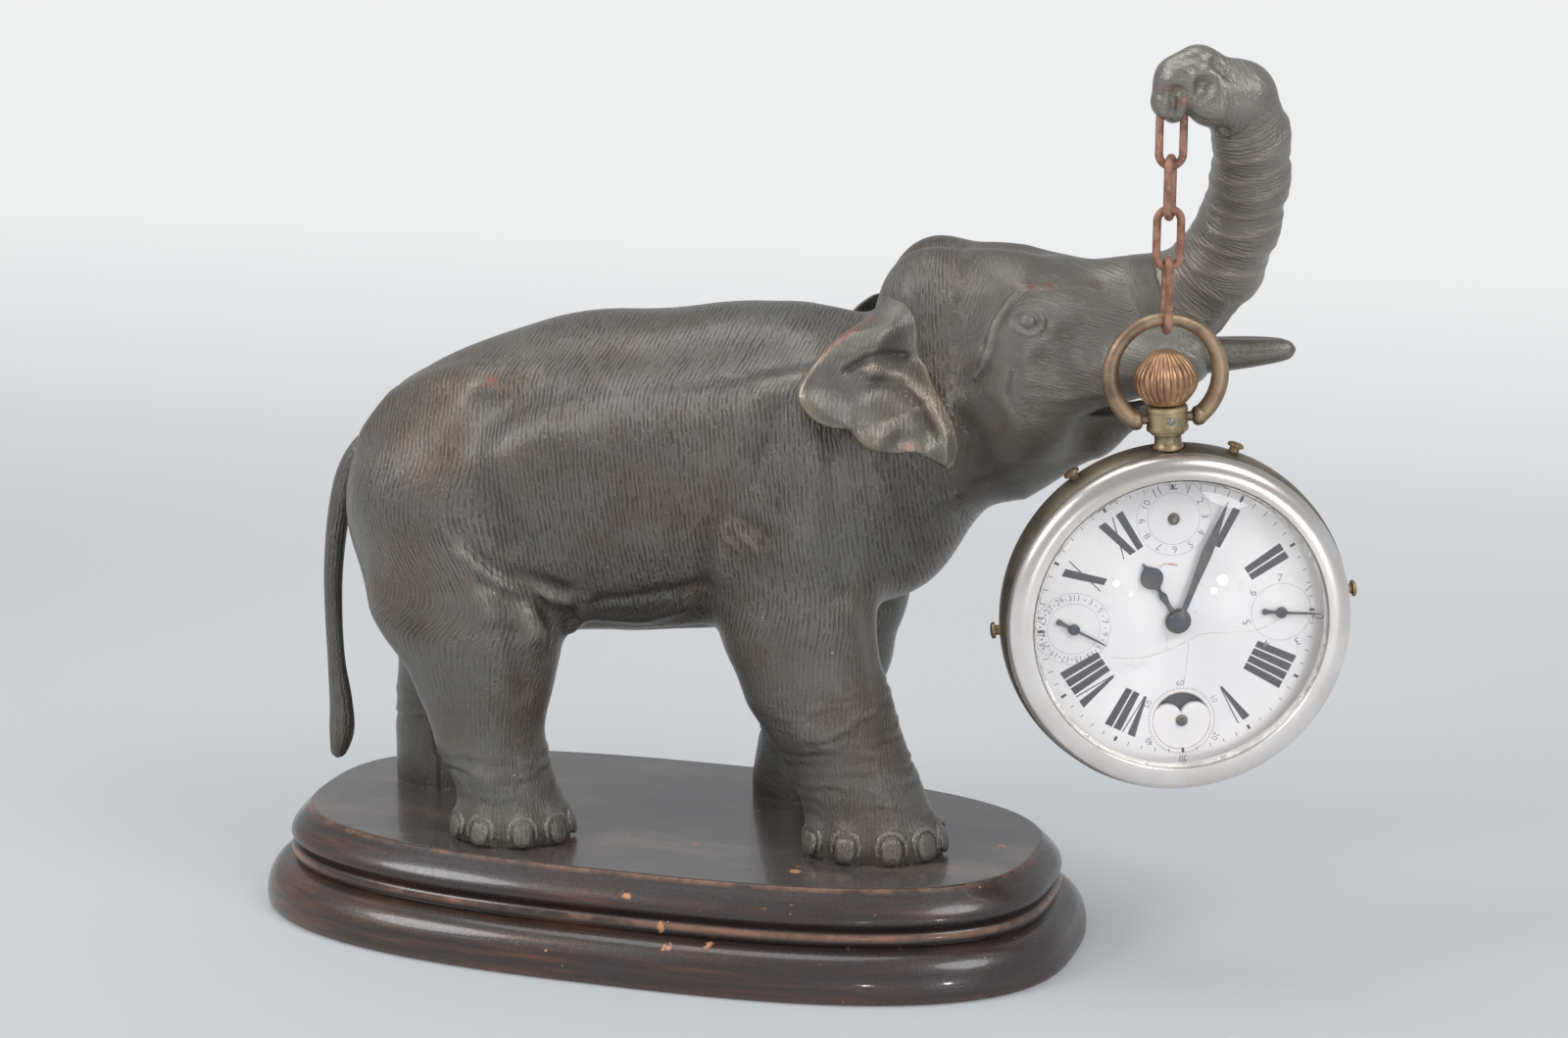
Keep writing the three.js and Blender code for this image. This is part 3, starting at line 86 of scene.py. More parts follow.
class Signal:
    """A shader socket that Python's operators work on: each adds a Math node."""

    def __init__(self, finish, socket):
        self.finish = finish
        self.socket = socket

    def calc(self, operation, *values):
        return self.finish.node("ShaderNodeMath", {"operation": operation}, values)

    def __add__(self, other):
        return self.calc("ADD", self, other)

    __radd__ = __add__

    def __sub__(self, other):
        return self.calc("SUBTRACT", self, other)

    def __rsub__(self, other):
        return self.calc("SUBTRACT", other, self)

    def __mul__(self, other):
        return self.calc("MULTIPLY", self, other)

    __rmul__ = __mul__

    def __truediv__(self, other):
        return self.calc("DIVIDE", self, other)

    def between(self, low, high):
        """0 below low, 1 above high, smooth between."""
        settings = {"interpolation_type": "SMOOTHSTEP"}
        return self.finish.node("ShaderNodeMapRange", settings, {0: self, 1: low, 2: high})


class Finish:
    """A material. node() adds any node, and close() ends it with its shader."""

    def __init__(self, name, tree=None):
        if tree is None:
            self.material = bpy.data.materials.new(name)
            self.material.use_nodes = True
            tree = self.material.node_tree
        self.tree = tree
        self.tree.nodes.clear()

    def node(self, kind, settings=None, inputs=(), output=0):
        added = self.tree.nodes.new(kind)
        for key, value in (settings or {}).items():
            setattr(added, key, value)
        for key, value in inputs.items() if isinstance(inputs, dict) else enumerate(inputs):
            if isinstance(value, Signal):
                self.tree.links.new(value.socket, added.inputs[key])
            else:
                added.inputs[key].default_value = value
        return Signal(self, added.outputs[output])

    def place(self):
        """Object coordinates in millimetres."""
        here = self.node("ShaderNodeTexCoord", output="Object")
        return self.stretch(here, (1000, 1000, 1000))

    def attribute(self, name, output="Fac"):
        return self.node("ShaderNodeAttribute", {"attribute_name": name}, output=output)

    def stretch(self, vector, factors):
        return self.node("ShaderNodeVectorMath", {"operation": "MULTIPLY"}, (vector, factors))

    def part(self, vector, letter):
        return self.node("ShaderNodeSeparateXYZ", inputs=(vector,), output=letter)

    def noise(self, vector, scale, detail=2.0, roughness=0.5):
        sockets = {"Vector": vector, "Scale": scale, "Detail": detail, "Roughness": roughness}
        return self.node("ShaderNodeTexNoise", inputs=sockets)

    def tint(self, share, first, second):
        return self.node("ShaderNodeMix", {"data_type": "RGBA"}, {0: share, 6: first, 7: second}, 2)

    def bump(self, height, depth, under=None):
        """Relief of a height from 0 to 1, depth millimetres deep."""
        sockets = {"Height": height, "Distance": depth / 1000, "Strength": 1.0}
        if under is not None:
            sockets["Normal"] = under
        return self.node("ShaderNodeBump", inputs=sockets, output="Normal")

    def close(self, sockets):
        shader = self.node("ShaderNodeBsdfPrincipled", inputs=sockets)
        self.node_end(shader)
        return self.material

    def node_end(self, shader):
        end = self.tree.nodes.new("ShaderNodeOutputMaterial")
        self.tree.links.new(shader.socket, end.inputs["Surface"])


world = bpy.data.worlds.new("studio")
bpy.context.scene.world = world
world.use_nodes = True
studio = Finish("studio", world.node_tree)
seen = studio.node("ShaderNodeLightPath", output="Is Camera Ray")
seen = seen + studio.node("ShaderNodeLightPath", output="Is Transmission Ray")
air = studio.node("ShaderNodeBackground", inputs={"Color": shade(222, 225, 229), "Strength": 0.7})
backdrop = studio.node("ShaderNodeBackground", inputs={"Color": shade(238, 239, 240)})
sky = studio.node("ShaderNodeMixShader", inputs=(seen, air, backdrop))
world_end = studio.tree.nodes.new("ShaderNodeOutputWorld")
studio.tree.links.new(sky.socket, world_end.inputs["Surface"])


def lamp(name, place, aim, size, power):
    """A round soft lamp, its size in metres and its power in watts."""
    data = bpy.data.lights.new(name, "AREA")
    data.shape = "DISK"
    data.size = size
    data.energy = power
    shown = linked(name, data)
    shown.location = place
    shown.rotation_euler = (Vector(aim) - Vector(place)).to_track_quat("-Z", "Y").to_euler()


lamp("lamp_above", (-0.2, 0.0, 1.1), (0, 0, 0.05), 0.7, 3.4)
lamp("lamp_left", (-0.8, -0.75, 0.8), (0, 0, 0.08), 0.55, 6.5)
lamp("lamp_right", (0.9, -0.45, 0.95), (0.05, 0, 0.08), 0.6, 5.6)
lamp("spark_right", (0.78, -0.77, 0.05), (0.11, 0, 0.08), 0.05, 0.9)
lamp("spark_left", (0.33, -1.0, 0.06), (0.11, 0, 0.08), 0.035, 0.3)

floor_mesh = bpy.data.meshes.new("floor")
floor_reach = 6.0
floor_corners = [(x * floor_reach, y * floor_reach, 0) for x, y in ((-1, -1), (1, -1), (1, 1), (-1, 1))]
floor_mesh.from_pydata(floor_corners, [], [(0, 1, 2, 3)])
floor = linked("floor", floor_mesh)
sheet = Finish("pale sheet")
sheet_here = sheet.place()
# Painted light on the floor: its colour is painted lighter towards the back, and camera rays see a painted
# glow, darker at the front, which takes over away from the clock.
rise = sheet.part(sheet_here, "Y").between(-160, 1000)
painted_falloff_paper = sheet.tint(rise, shade(202, 204, 206), shade(228, 229, 230))
matte = sheet.node("ShaderNodeBsdfDiffuse", inputs=(painted_falloff_paper,))
painted_glow_colour = sheet.tint(rise, shade(182, 185, 189), shade(238, 239, 240))
painted_glow = sheet.node("ShaderNodeEmission", inputs=(painted_glow_colour,))
distance = sheet.node("ShaderNodeVectorMath", {"operation": "LENGTH"}, (sheet_here,), "Value")
painted_glow_share = sheet.node("ShaderNodeLightPath", output="Is Camera Ray") * (0.3 + 0.7 * distance.between(130, 560))
sheet.node_end(sheet.node("ShaderNodeMixShader", inputs=(painted_glow_share, matte, painted_glow)))
floor_mesh.materials.append(sheet.material)

# Plinth: an oblong with bowed sides, moulded all round from one piece of hardwood, stained
# dark and lacquered. The lacquer is worn to copper brown along the upper edge and the bead.
millimetre = 0.001
plinth_length = 180.0
plinth_depth = 94.4
plinth_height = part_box("wooden_plinth")[1].z * 1000
plinth_roundness = 2.71


def mesh_of(name, points, faces):
    """A mesh from points in millimetres."""
    mesh = bpy.data.meshes.new(name)
    mesh.from_pydata(np.array(points, float) * millimetre, [], faces)
    return mesh


def settle(name, mesh, body, *stands_for, crease):
    """A piece that rides on a body and stands for CAD nodes, sharp past its crease in degrees."""
    if crease:
        mesh.shade_smooth()
        mesh.set_sharp_from_angle(angle=math.radians(crease))
    made = linked(name, mesh)
    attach(made, body)
    if stands_for:
        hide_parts(*stands_for)
    return made


def ring_faces(first, second, sides):
    """Faces between two rings of points, the first ones of which have these numbers."""
    around = [(k, (k + 1) % sides) for k in range(sides)]
    return [(first + k, first + n, second + n, second + k) for k, n in around]


def loft(rings):
    """Faces over rings of equal point counts, capped with one face at each end."""
    sides = len(rings[0])
    last = (len(rings) - 1) * sides
    faces = []
    for start in range(0, last, sides):
        faces += ring_faces(start, start + sides, sides)
    faces.append(tuple(range(sides - 1, -1, -1)))
    faces.append(tuple(range(last, last + sides)))
    return [p for ring in rings for p in ring], faces


def plain_mesh(holder):
    """What an object's modifiers make of it, as a mesh that stays when the object goes."""
    bpy.context.view_layer.update()
    mesh = bpy.data.meshes.new_from_object(holder.evaluated_get(bpy.context.evaluated_depsgraph_get()))
    bpy.data.objects.remove(holder)
    return mesh


def drilled(name, points, faces, cutters):
    """The mesh of a blank with round holes: cutters are (start, end, radius)."""
    carrier = linked(name + " blank", mesh_of(name, points, faces))
    drills = bmesh.new()
    for start, end, radius in cutters:
        start, end = Vector(start) * millimetre, Vector(end) * millimetre
        turn = (end - start).to_track_quat("Z", "Y").to_matrix().to_4x4()
        turn.translation = (start + end) / 2
        bmesh.ops.create_cone(drills, cap_ends=True, segments=32, radius1=radius * millimetre,
                              radius2=radius * millimetre, depth=(end - start).length, matrix=turn)
    tool_mesh = bpy.data.meshes.new(name + " drills")
    drills.to_mesh(tool_mesh)
    drills.free()
    tool = linked(name + " drills", tool_mesh)
    cutting = carrier.modifiers.new("holes", "BOOLEAN")
    cutting.operation = "DIFFERENCE"
    cutting.solver = "EXACT"
    cutting.use_self = True
    cutting.object = tool
    result = plain_mesh(carrier)
    bpy.data.objects.remove(tool)
    result.name = name
    return result


ovolo_foot, ovolo_rise, ovolo_inset = 2.4, 7.7, 5.3
bead_middle, bead_rise, bead_inset, bead_stand = 12.1, 1.5, 6.15, 0.85
ridge_top, ridge_inset = 15.7, 5.3
bevel_rise, bevel_inset = 6.0, 4.4
edge_inset, edge_radius, edge_rise = 10.15, 0.9, 0.7
flat_inset = 10.4


def moulding():
    """The plinth's section, bottom to top, as (height, inset)."""
    section = [(0, 1.3), (0.3, 0.6), (1.0, 0.15), (ovolo_foot, 0)]
    for step in range(1, 15):
        turn = math.radians(step * 6)
        section.append((ovolo_foot + ovolo_rise * math.sin(turn), ovolo_inset * (1 - math.cos(turn))))
    section.append((10.25, 5.6))
    section.append((10.5, bead_inset))
    for step in range(13):
        turn = math.radians(-80 + step * 160 / 12)
        section.append((bead_middle + bead_rise * math.sin(turn), bead_inset - bead_stand * math.cos(turn)))
    section += [(13.75, 6.6), (13.95, 6.9), (14.2, 6.8), (14.6, 6.1), (15.0, 5.65), (15.35, 5.4)]
    section.append((ridge_top, ridge_inset))
    for step in range(1, 15):
        t = step / 15
        section.append((ridge_top + bevel_rise * t, ridge_inset + bevel_inset * t * t * (1.8 - 0.8 * t)))
    for step in range(6):
        turn = math.radians(25 + step * 13)
        fall = edge_rise * (1 - math.sin(turn))
        section.append((plinth_height - fall, edge_inset - edge_radius * math.cos(turn)))
    section.append((plinth_height, flat_inset))
    return section


def oblong(height, inset, steps=176):
    """One level of the plinth: a ring between an ellipse and a rectangle."""
    half_length = plinth_length / 2 - inset
    half_depth = plinth_depth / 2 - inset
    ring = []
    for step in range(steps):
        turn = 2 * math.pi * step / steps
        across = math.copysign(abs(math.cos(turn)) ** (2 / plinth_roundness), math.cos(turn))
        back = math.copysign(abs(math.sin(turn)) ** (2 / plinth_roundness), math.sin(turn))
        ring.append((half_length * across, half_depth * back, height))
    return ring


lacquer = Finish("dark lacquered wood")
wood_place = lacquer.place()
up = lacquer.part(wood_place, "Z")
streaks = lacquer.noise(lacquer.stretch(wood_place, (0.035, 0.09, 0.8)), 1.0, 5, 0.6)
clouds = lacquer.noise(wood_place, 0.035, 3)
dust_and_sheen = lacquer.noise(wood_place, 1.6, 4, 0.7)
stain = lacquer.tint(streaks.between(0.42, 0.72), shade(48, 34, 30), shade(88, 56, 44))
stain = lacquer.tint(clouds.between(0.36, 0.62) * 0.75, stain, shade(46, 40, 40))
edge_line = up.between(20.6, 21.35) - up.between(21.55, 21.68)
bead_line = up.between(11.6, 12.6) - up.between(12.9, 13.5)
rubbed = lacquer.noise(wood_place, 0.16, 5, 0.7)
edge_wear = edge_line * rubbed.between(0.36, 0.66) * 0.8
bead_wear = bead_line * lacquer.noise(wood_place, 0.05, 4, 0.65).between(0.38, 0.6)
stain = lacquer.tint(edge_wear, stain, shade(142, 98, 74))
stain = lacquer.tint(bead_wear * 0.8, stain, shade(150, 106, 80))
top_face = up.between(21.6, 21.69)
swirl = lacquer.noise(lacquer.stretch(wood_place, (0.03, 0.09, 1)), 1.0, 5, 0.62)
# Partly dust, partly painted reflection: the flat top is painted greyer, more where the dust noise is high,
# and clouded with lighter brown.
stain = lacquer.tint(top_face * (0.45 + 0.4 * dust_and_sheen.between(0.4, 0.8)), stain, shade(96, 92, 90))
stain = lacquer.tint(top_face * swirl.between(0.5, 0.72) * 0.6, stain, shade(120, 104, 92))
foot_dust = (1 - up.between(0.2, 2.2)) * dust_and_sheen.between(0.35, 0.6)
stain = lacquer.tint(foot_dust * 0.7, stain, shade(104, 76, 58))
wobble = lacquer.node("ShaderNodeTexNoise", inputs={"Vector": wood_place, "Scale": 0.9}, output="Color")
wobble = lacquer.stretch(wobble, (2.2, 2.2, 2.2))
wobbly = lacquer.node("ShaderNodeVectorMath", {"operation": "ADD"}, (wood_place, wobble))
chips = lacquer.node("ShaderNodeTexVoronoi", inputs={"Vector": wobbly, "Scale": 0.085})
nicks = lacquer.node("ShaderNodeTexVoronoi", inputs={"Vector": wobbly, "Scale": 0.22})
chipped = (1 - chips.between(0.07, 0.12)) * lacquer.noise(wood_place, 0.02, 1).between(0.46, 0.52)
chipped = chipped.calc("MAXIMUM", chipped, (1 - nicks.between(0.04, 0.09)) * swirl.between(0.5, 0.56))
stain = lacquer.tint(chipped, stain, shade(196, 138, 100))
gloss = 0.24 - 0.12 * top_face + 0.2 * dust_and_sheen.between(0.3, 0.8) + 0.3 * (edge_wear + bead_wear + chipped)
relief = lacquer.bump(0.6 * streaks + 0.4 * dust_and_sheen - chipped, 0.12)
wood = lacquer.close({
    "Base Color": stain, "Roughness": gloss, "Coat Weight": 0.5, "Coat Roughness": 0.1,
    "Normal": relief,
})

screw_places = [(46, -17.5), (27, 19), (-31, -19.5), (-54, 17.5)]
counterbore_depth, counterbore_radius = 8, 4.0
screw_hole_radius = 1.8
elephant_turn = math.radians(9)
elephant_shift = 1.5
turn_cos = math.cos(elephant_turn)
turn_sin = math.sin(elephant_turn)


def on_plinth(u, v):
    """The elephant's own forwards and sideways to the plinth's."""
    return turn_cos * u - turn_sin * v, turn_sin * u + turn_cos * v + elephant_shift


holes = []
for u, v in screw_places:
    x, y = on_plinth(u, v)
    holes.append(((x, y, -1), (x, y, counterbore_depth), counterbore_radius))
    holes.append(((x, y, counterbore_depth - 1), (x, y, plinth_height + 1), screw_hole_radius))
plinth_points, plinth_faces = loft([oblong(*level) for level in moulding()])
plinth = drilled("plinth", plinth_points, plinth_faces, holes)
plinth.materials.append(wood)
settle("plinth", plinth, "stand", "wooden_plinth", crease=38)

# Elephant: hollow-cast and patinated dark bronze in two main castings, body and head, which
# meet at the neck. Its hide is chased all over with fine close lines.
barrel = ((-9, 0, 75.6), (45, 29, 34.2))
rump = ((-41, 0, 68), (28.5, 26, 29.5))
shoulder = ((21, 0, 78.5), (30, 26, 33.2))
chest = ((44, 0, 69), (18, 18, 19))
neck = ((36, 0, 82), (66, 0, 93), 27, 20)
skull = ((66, 0, 106), (21.5, 19, 20))
crown_dome = ((56, 8, 111.5), (11.5, 9.5, 14.2))
brow = ((78, 0, 108), (97, 0, 112.5), 15.3, 10.3)
cheek = ((75, 8.5, 96), (12, 8, 13))
jaw = ((73, 0, 85.5), (88, 0, 88), 13, 6.4)
lower_lip = ((88, 0, 88), (98, 0, 91), 5.8, 2.4)
near_sheath = ((85, -8.5, 100), (107, -10.6, 104.8), 7.6, 5.8)
far_sheath = ((85, 8.5, 99), (106, 10.6, 101.9), 7.6, 5.8)
leg_flatness = 0.78
legs = {
    "near fore": [(29, -14, 66, 17), (29.5, -16, 48, 15.6), (32.5, -17, 37, 14),
                  (36.5, -17.5, 29, 12.8), (40.3, -17.5, 20, 11.6), (43.5, -17.5, 11, 12),
                  (45.5, -17.5, 3, 13), (46, -17.5, -6, 13.4)],
    "far fore": [(32, 14, 66, 17), (33.5, 16, 48, 15), (32, 18, 34, 12.8), (29.5, 19, 22, 11.2),
                 (27.5, 19, 11, 11), (27, 19, 3, 11.8), (27, 19, -6, 12.2)],
    "near hind": [(-44.2, -11, 68, 20.8), (-42, -15, 53, 19.4), (-37.5, -17, 42, 16.6),
                  (-36.6, -18, 33, 13.6), (-35.8, -19, 23, 11), (-32.8, -19.5, 14, 9.8),
                  (-31, -19.5, 5, 10.8), (-31, -19.5, -6, 11.4)],
    "far hind": [(-42, 11, 70, 20), (-44, 15, 53, 18), (-48, 17, 40, 15.5), (-51.5, 17.5, 30, 12.6),
                 (-54, 17.5, 20, 10.6), (-54.8, 17.5, 11, 10.2), (-54, 17.5, 3, 11), (-54, 17.5, -6, 11.4)],
}
trunk = [(97, 0, 112.5, 10.3), (106.5, -1.5, 115.6, 9.3), (113.5, -5, 123.2, 8.4),
         (117.3, -9.5, 132.4, 7.6), (119.2, -14.5, 142, 7.2), (119.2, -19.5, 150.8, 6.9),
         (116.5, -23.6, 158.5, 6.7), (111.2, -27.2, 158.3, 5.0)]
trunk_finger = [(113.4, -25.2, 161.4, 4.9), (108.6, -26.6, 163.9, 4.6), (105, -28, 162.2, 4.4),
                (103.2, -28.6, 158.2, 3.5)]

# Modelled folds of the hide as (points, height or depth, half width). Those of the first list
# are on both sides, those of the second where their points say, mostly on the near side.
paired_folds = [
    ([(-63, 9, 84), (-58, 6, 91), (-48, 11, 95.5), (-40.5, 13, 98)], 1.4, 3.6),
    ([(-36, 17, 96.5), (-33, 18, 95.5)], 1.6, 4.2),
    ([(-34, 21.7, 92), (-36.5, 24.7, 85), (-35.6, 27.5, 76.6), (-31.4, 28, 66.5)], -2.0, 5.5),
    ([(-29.6, 20, 95.7), (-13, 20.7, 99.3), (7, 19.4, 101.7), (25, 18, 103.9)], -2.1, 5.0),
    ([(-32, 24.6, 84), (-20, 25, 88.6), (6, 25, 91.8), (22, 24, 93.6)], 1.5, 6.5),
    ([(-34, 27, 79), (-28, 28, 80.5)], 0.8, 6.0),
    ([(12, 25, 93), (24, 24, 96)], 0.7, 4.2),
    ([(63, 15, 117), (66, 14, 119)], 0.6, 3.0),
    ([(24.5, 22.5, 99), (31, 22, 99.5)], 1.4, 3.6),
    ([(24.9, 24.8, 94.2), (24.2, 26.6, 89.1), (21.6, 27.7, 82), (15.8, 28.1, 76)], -1.6, 3.6),
    ([(31.5, 22, 98.9), (34, 26.5, 88), (32.3, 27.8, 75), (30.7, 27.6, 66.7)], 1.2, 5),
    ([(38, 25.8, 90), (39.7, 26.4, 75), (40.3, 24.3, 58)], -1.2, 4.2),
    ([(48.7, 24.1, 84.7), (52.4, 21, 74), (54, 16, 64.6)], -1.0, 2.4),
    ([(56.2, 17.3, 70.4), (58.4, 17.3, 73.3), (62, 16, 75)], -1.0, 1.8),
    ([(-39.5, 28.5, 68.4), (-31.5, 28.1, 60.3), (-24.9, 25.7, 57.9), (-18.3, 23.3, 55.5)], -1.1, 1.5),
    ([(-38, 29, 63.5), (-31, 28.6, 57.3), (-24.6, 26, 54.6), (-18, 21.5, 52)], 0.9, 1.6),
    ([(-34, 29.2, 58), (-28.5, 27.6, 54.5), (-22.6, 24.5, 52)], -0.8, 1.2),
    ([(-13.8, 21.4, 52.6), (-15.7, 17.3, 48.1), (-18.4, 15, 45)], 1.4, 1.5),
    ([(-13.6, 21.4, 52), (-1.6, 22.3, 54), (10.5, 23.5, 57)], -0.9, 1.5),
    ([(-14.1, 17.2, 48.1), (-2.9, 15.9, 47.4), (8.1, 19.8, 52)], 0.6, 2.2),
    ([(-10, 8, 44.2), (0, 8, 44.5), (9, 10, 46.4)], -0.5, 1.6),
    ([(62.8, 19.4, 106), (64.5, 19.6, 103), (63.3, 19.8, 100)], -1.5, 3.4),
    ([(70.4, 15.8, 117.2), (68.6, 17.4, 114), (66.2, 18.9, 109)], -1.0, 2.2),
    ([(74.8, 14.3, 118.2), (72.2, 16, 116.4), (70.7, 17.3, 114.4), (69.1, 18.4, 111.2), (68.5, 19.2, 107),
      (67.2, 19.8, 103.6), (65.7, 20, 101.4)], 1.1, 1.0),
    ([(74.8, 14.1, 118.6), (78.6, 12.5, 118.8), (81.8, 10.7, 119.2), (87.2, 9.5, 118.5)], 0.8, 1.8),
    ([(78, 16.5, 115.6), (74, 17.6, 115.2), (72.5, 18, 112.6)], -0.5, 1.0),
    ([(71.7, 19.6, 102.5), (71, 20, 98.2), (73.4, 19.5, 93.7), (74.6, 18.9, 90.8)], 0.4, 1.8),
    ([(74.2, 19, 103), (73.8, 19.2, 98.5), (76, 18.6, 94)], -0.35, 1.4),
    ([(76, 18.8, 98.9), (82.4, 17, 98), (89.6, 15.9, 99.2)], -0.3, 1.2),
    ([(76.7, 18.6, 96.2), (83.4, 16.2, 94.9), (90.1, 13.5, 95.3)], -0.35, 1.2),
    ([(77.6, 18.1, 93.6), (83.4, 15.4, 92.3), (88.9, 9, 91.4)], -0.3, 1.1),
    ([(79, 17.8, 104.3), (84.3, 16.7, 101.6), (92, 15.8, 99.5), (100, 14, 98.5)], -0.9, 2.6),
    ([(83, 15.8, 110), (85.6, 15.2, 107.6), (88.1, 15.5, 104.2)], -0.7, 1.4),
    ([(86.5, 15, 110.5), (89.3, 14.6, 107.6), (91.5, 14.6, 104.5)], -0.5, 1.1),
    ([(86, 7.6, 93.8), (91.5, 6.2, 94.2), (98, 4.2, 94.8)], -2.2, 1.9),
    ([(88, 7.4, 91.2), (93, 5.2, 91.4), (98.6, 0.8, 93)], 0.7, 1.2),
    ([(62.5, 20.6, 93.7), (66.2, 19.8, 88), (67.3, 17.9, 83)], -1.3, 2.4),
]
near_folds = [
    ([(56, 0, 123), (64, 0, 126), (76, 0, 125)], -1.7, 3.6),
    ([(30, 0, 111), (36, 0, 112)], 1.0, 6.0),
    ([(11, 0, 111), (18, 0, 112)], 0.3, 6.0),
    ([(104, -31, 166), (109, -30.6, 167), (113.4, -29.6, 165.6)], -0.5, 0.9),
    ([(110, -31.6, 161.8), (110.2, -32, 160.8)], -1.6, 1.5),
    ([(104.9, -32, 160), (105, -31.6, 157)], -2.2, 1.6),
    ([(112.6, -30.6, 163.4), (113.6, -30.6, 160), (113, -31, 156.4)], 0.5, 0.9),
    ([(112, -29.6, 165.4), (115.4, -28.6, 162), (116, -27.6, 157.6), (114, -27.6, 153.4)], -1.0, 1.2),
    ([(107.4, -31.6, 163), (107.2, -32, 158)], 0.4, 0.8),
    ([(101.6, -31, 156), (104, -31.4, 154.8)], 0.5, 1.0),
    ([(9, -20, 50), (11.2, -23, 56.5), (12, -26.3, 64.2), (12.7, -27.7, 69.9), (15.6, -28, 73.4),
      (20, -28, 72.8), (24.3, -28, 69.5)], -1.1, 1.8),
    ([(15.6, -28.5, 60), (17, -28.2, 66.5), (21, -28, 67.5)], 0.9, 4.2),
    ([(14.8, -28, 69), (18, -27.8, 64.6), (19.4, -27.4, 59)], -0.4, 0.8),
    ([(17.3, -27.6, 69.6), (21.4, -27.6, 66.4), (23.4, -27.2, 60)], -0.45, 0.8),
    ([(20, -27.6, 70.6), (24.4, -27.8, 66.4), (26, -27.4, 59)], -0.4, 0.8),
    ([(30, -26, 84), (27.6, -27.2, 79), (27, -27.6, 74)], -0.6, 0.9),
    ([(-23.8, -25.2, 47.1), (-25, -25.6, 49.5)], 1.5, 3.2),
    ([(-32.6, -29.4, 51.4), (-34, -29.6, 53.6)], 1.2, 3.0),
    ([(-28.7, -27.6, 58.1), (-23.4, -24.4, 53.3), (-20.9, -22, 46.4), (-21.5, -22.4, 41.4)], -1.1, 1.3),
    ([(-28.5, -27.5, 47), (-28, -27, 41), (-27, -25.6, 34)], -0.8, 2.2),
    ([(44.5, -20.4, 53), (47.6, -20.4, 36.4), (49.1, -23.4, 26)], -0.8, 2.4),
    ([(33, -27.6, 27.5), (37, -27.9, 27)], 0.9, 4.0),
    ([(-34.5, -28.2, 14.8), (-35.5, -27.8, 15.6)], 0.9, 2.4),
]
# For each foot: its middle, its half length and width at the nails, the way each nail looks
# in degrees, and a nail's size.
foot_nails = {
    "near fore": ((46, -17.5), (13.2, 10.3), (-146, -109, -71, -37, -4), 3.6),
    "far fore": ((27, 19), (12, 9.4), (112, 72, 34, -4), 3.3),
    "near hind": ((-31, -19.5), (11, 8.6), (-152, -113, -70, -30, 10), 3.3),
    "far hind": ((-54, 17.5), (11, 8.6), (112, 72, 34, -4), 3.2),
}
# For each leg: how far back and forwards its rings reach, and each ring's height and slope.
leg_creases = {
    "near fore": ((30, 46), [(34.6, 0.06), (32.2, 0.08), (29.8, 0.1), (27.4, 0.12), (25, 0.15),
                             (22.4, 0.14), (19.8, 0.12), (17.4, 0.08), (14.6, 0.04), (11.4, 0.0)]),
    "far fore": ((18, 40), [(24, 0.08), (21, 0.1), (17.6, 0.06), (13.8, 0.02)]),
    "near hind": ((-44, -24), [(18.4, -0.02), (14.8, 0.08), (10.4, 0.24), (8.2, 0.16)]),
    "far hind": ((-66, -44), [(19, 0.02), (15.2, 0.08), (11, 0.16)]),
}


def capsule(p, a, b, start, end):
    """Distance to a bar from a to b, with a radius at its start and one at its end."""
    a, b = np.array(a, float), np.array(b, float)
    ab = b - a
    t = np.clip(((p - a) @ ab) / (ab @ ab), 0, 1)
    return np.linalg.norm(p - a - t[:, None] * ab, axis=1) - (start + (end - start) * t)


def ellipsoid(p, centre, radii):
    """Near an ellipsoid, about the distance to it."""
    q = (p - np.array(centre, float)) / np.array(radii, float)
    size = np.linalg.norm(q, axis=1)
    return size * (size - 1) / np.maximum(np.linalg.norm(q / np.array(radii, float), axis=1), 1e-9)


def blend(a, b, width):
    """The nearer of two forms, run together where they are within a width of each other."""
    near = np.maximum(width - np.abs(a - b), 0) / width
    return np.minimum(a, b) - near * near * width / 4


def chain_of(p, points, width):
    whole = None
    for a, b in zip(points, points[1:]):
        part = capsule(p, a[:3], b[:3], a[3], b[3])
        whole = part if whole is None else blend(whole, part, width)
    return whole


def leg_form(p, points):
    side = np.sign(points[3][1])
    wide = [(u, v / leg_flatness, w, r) for u, v, w, r in points]
    d = chain_of(p * np.array([1, 1 / leg_flatness, 1]), wide, 3) * leg_flatness
    return np.where(side * p[:, 1] < -14, 30, d)


def main_form(p):
    """Distance to the elephant's large forms, u forwards, v to its left, w up."""
    mirror = np.stack([p[:, 0], np.abs(p[:, 1]), p[:, 2]], 1)
    d = ellipsoid(p, *barrel)
    d = blend(d, ellipsoid(p, *rump), 12)
    d = blend(d, ellipsoid(p, *shoulder), 12)
    d = blend(d, ellipsoid(p, *chest), 10)
    d = blend(d, capsule(p, *neck), 8)
    low = (p[:, 2] < 95) & (p[:, 0] < 75)
    part = d[low]
    for points in legs.values():
        part = blend(part, leg_form(p[low], points), 5)
    d[low] = part
    front = p[:, 0] >= 30
    q = p[front]
    mirrored = mirror[front]
    part = blend(d[front], ellipsoid(q, *skull), 6)
    part = blend(part, ellipsoid(mirrored, *crown_dome), 4)
    part = blend(part, capsule(q, *brow), 7)
    part = blend(part, ellipsoid(mirrored, *cheek), 6)
    part = blend(part, blend(capsule(q, *jaw), capsule(q, *lower_lip), 3), 4)
    part = blend(part, capsule(q, *near_sheath), 4)
    part = blend(part, capsule(q, *far_sheath), 4)
    d[front] = part
    tip = p[:, 0] > 85
    part = blend(d[tip], chain_of(p[tip], trunk, 3), 4)
    d[tip] = blend(part, chain_of(p[tip], trunk_finger, 2), 2)
    return d


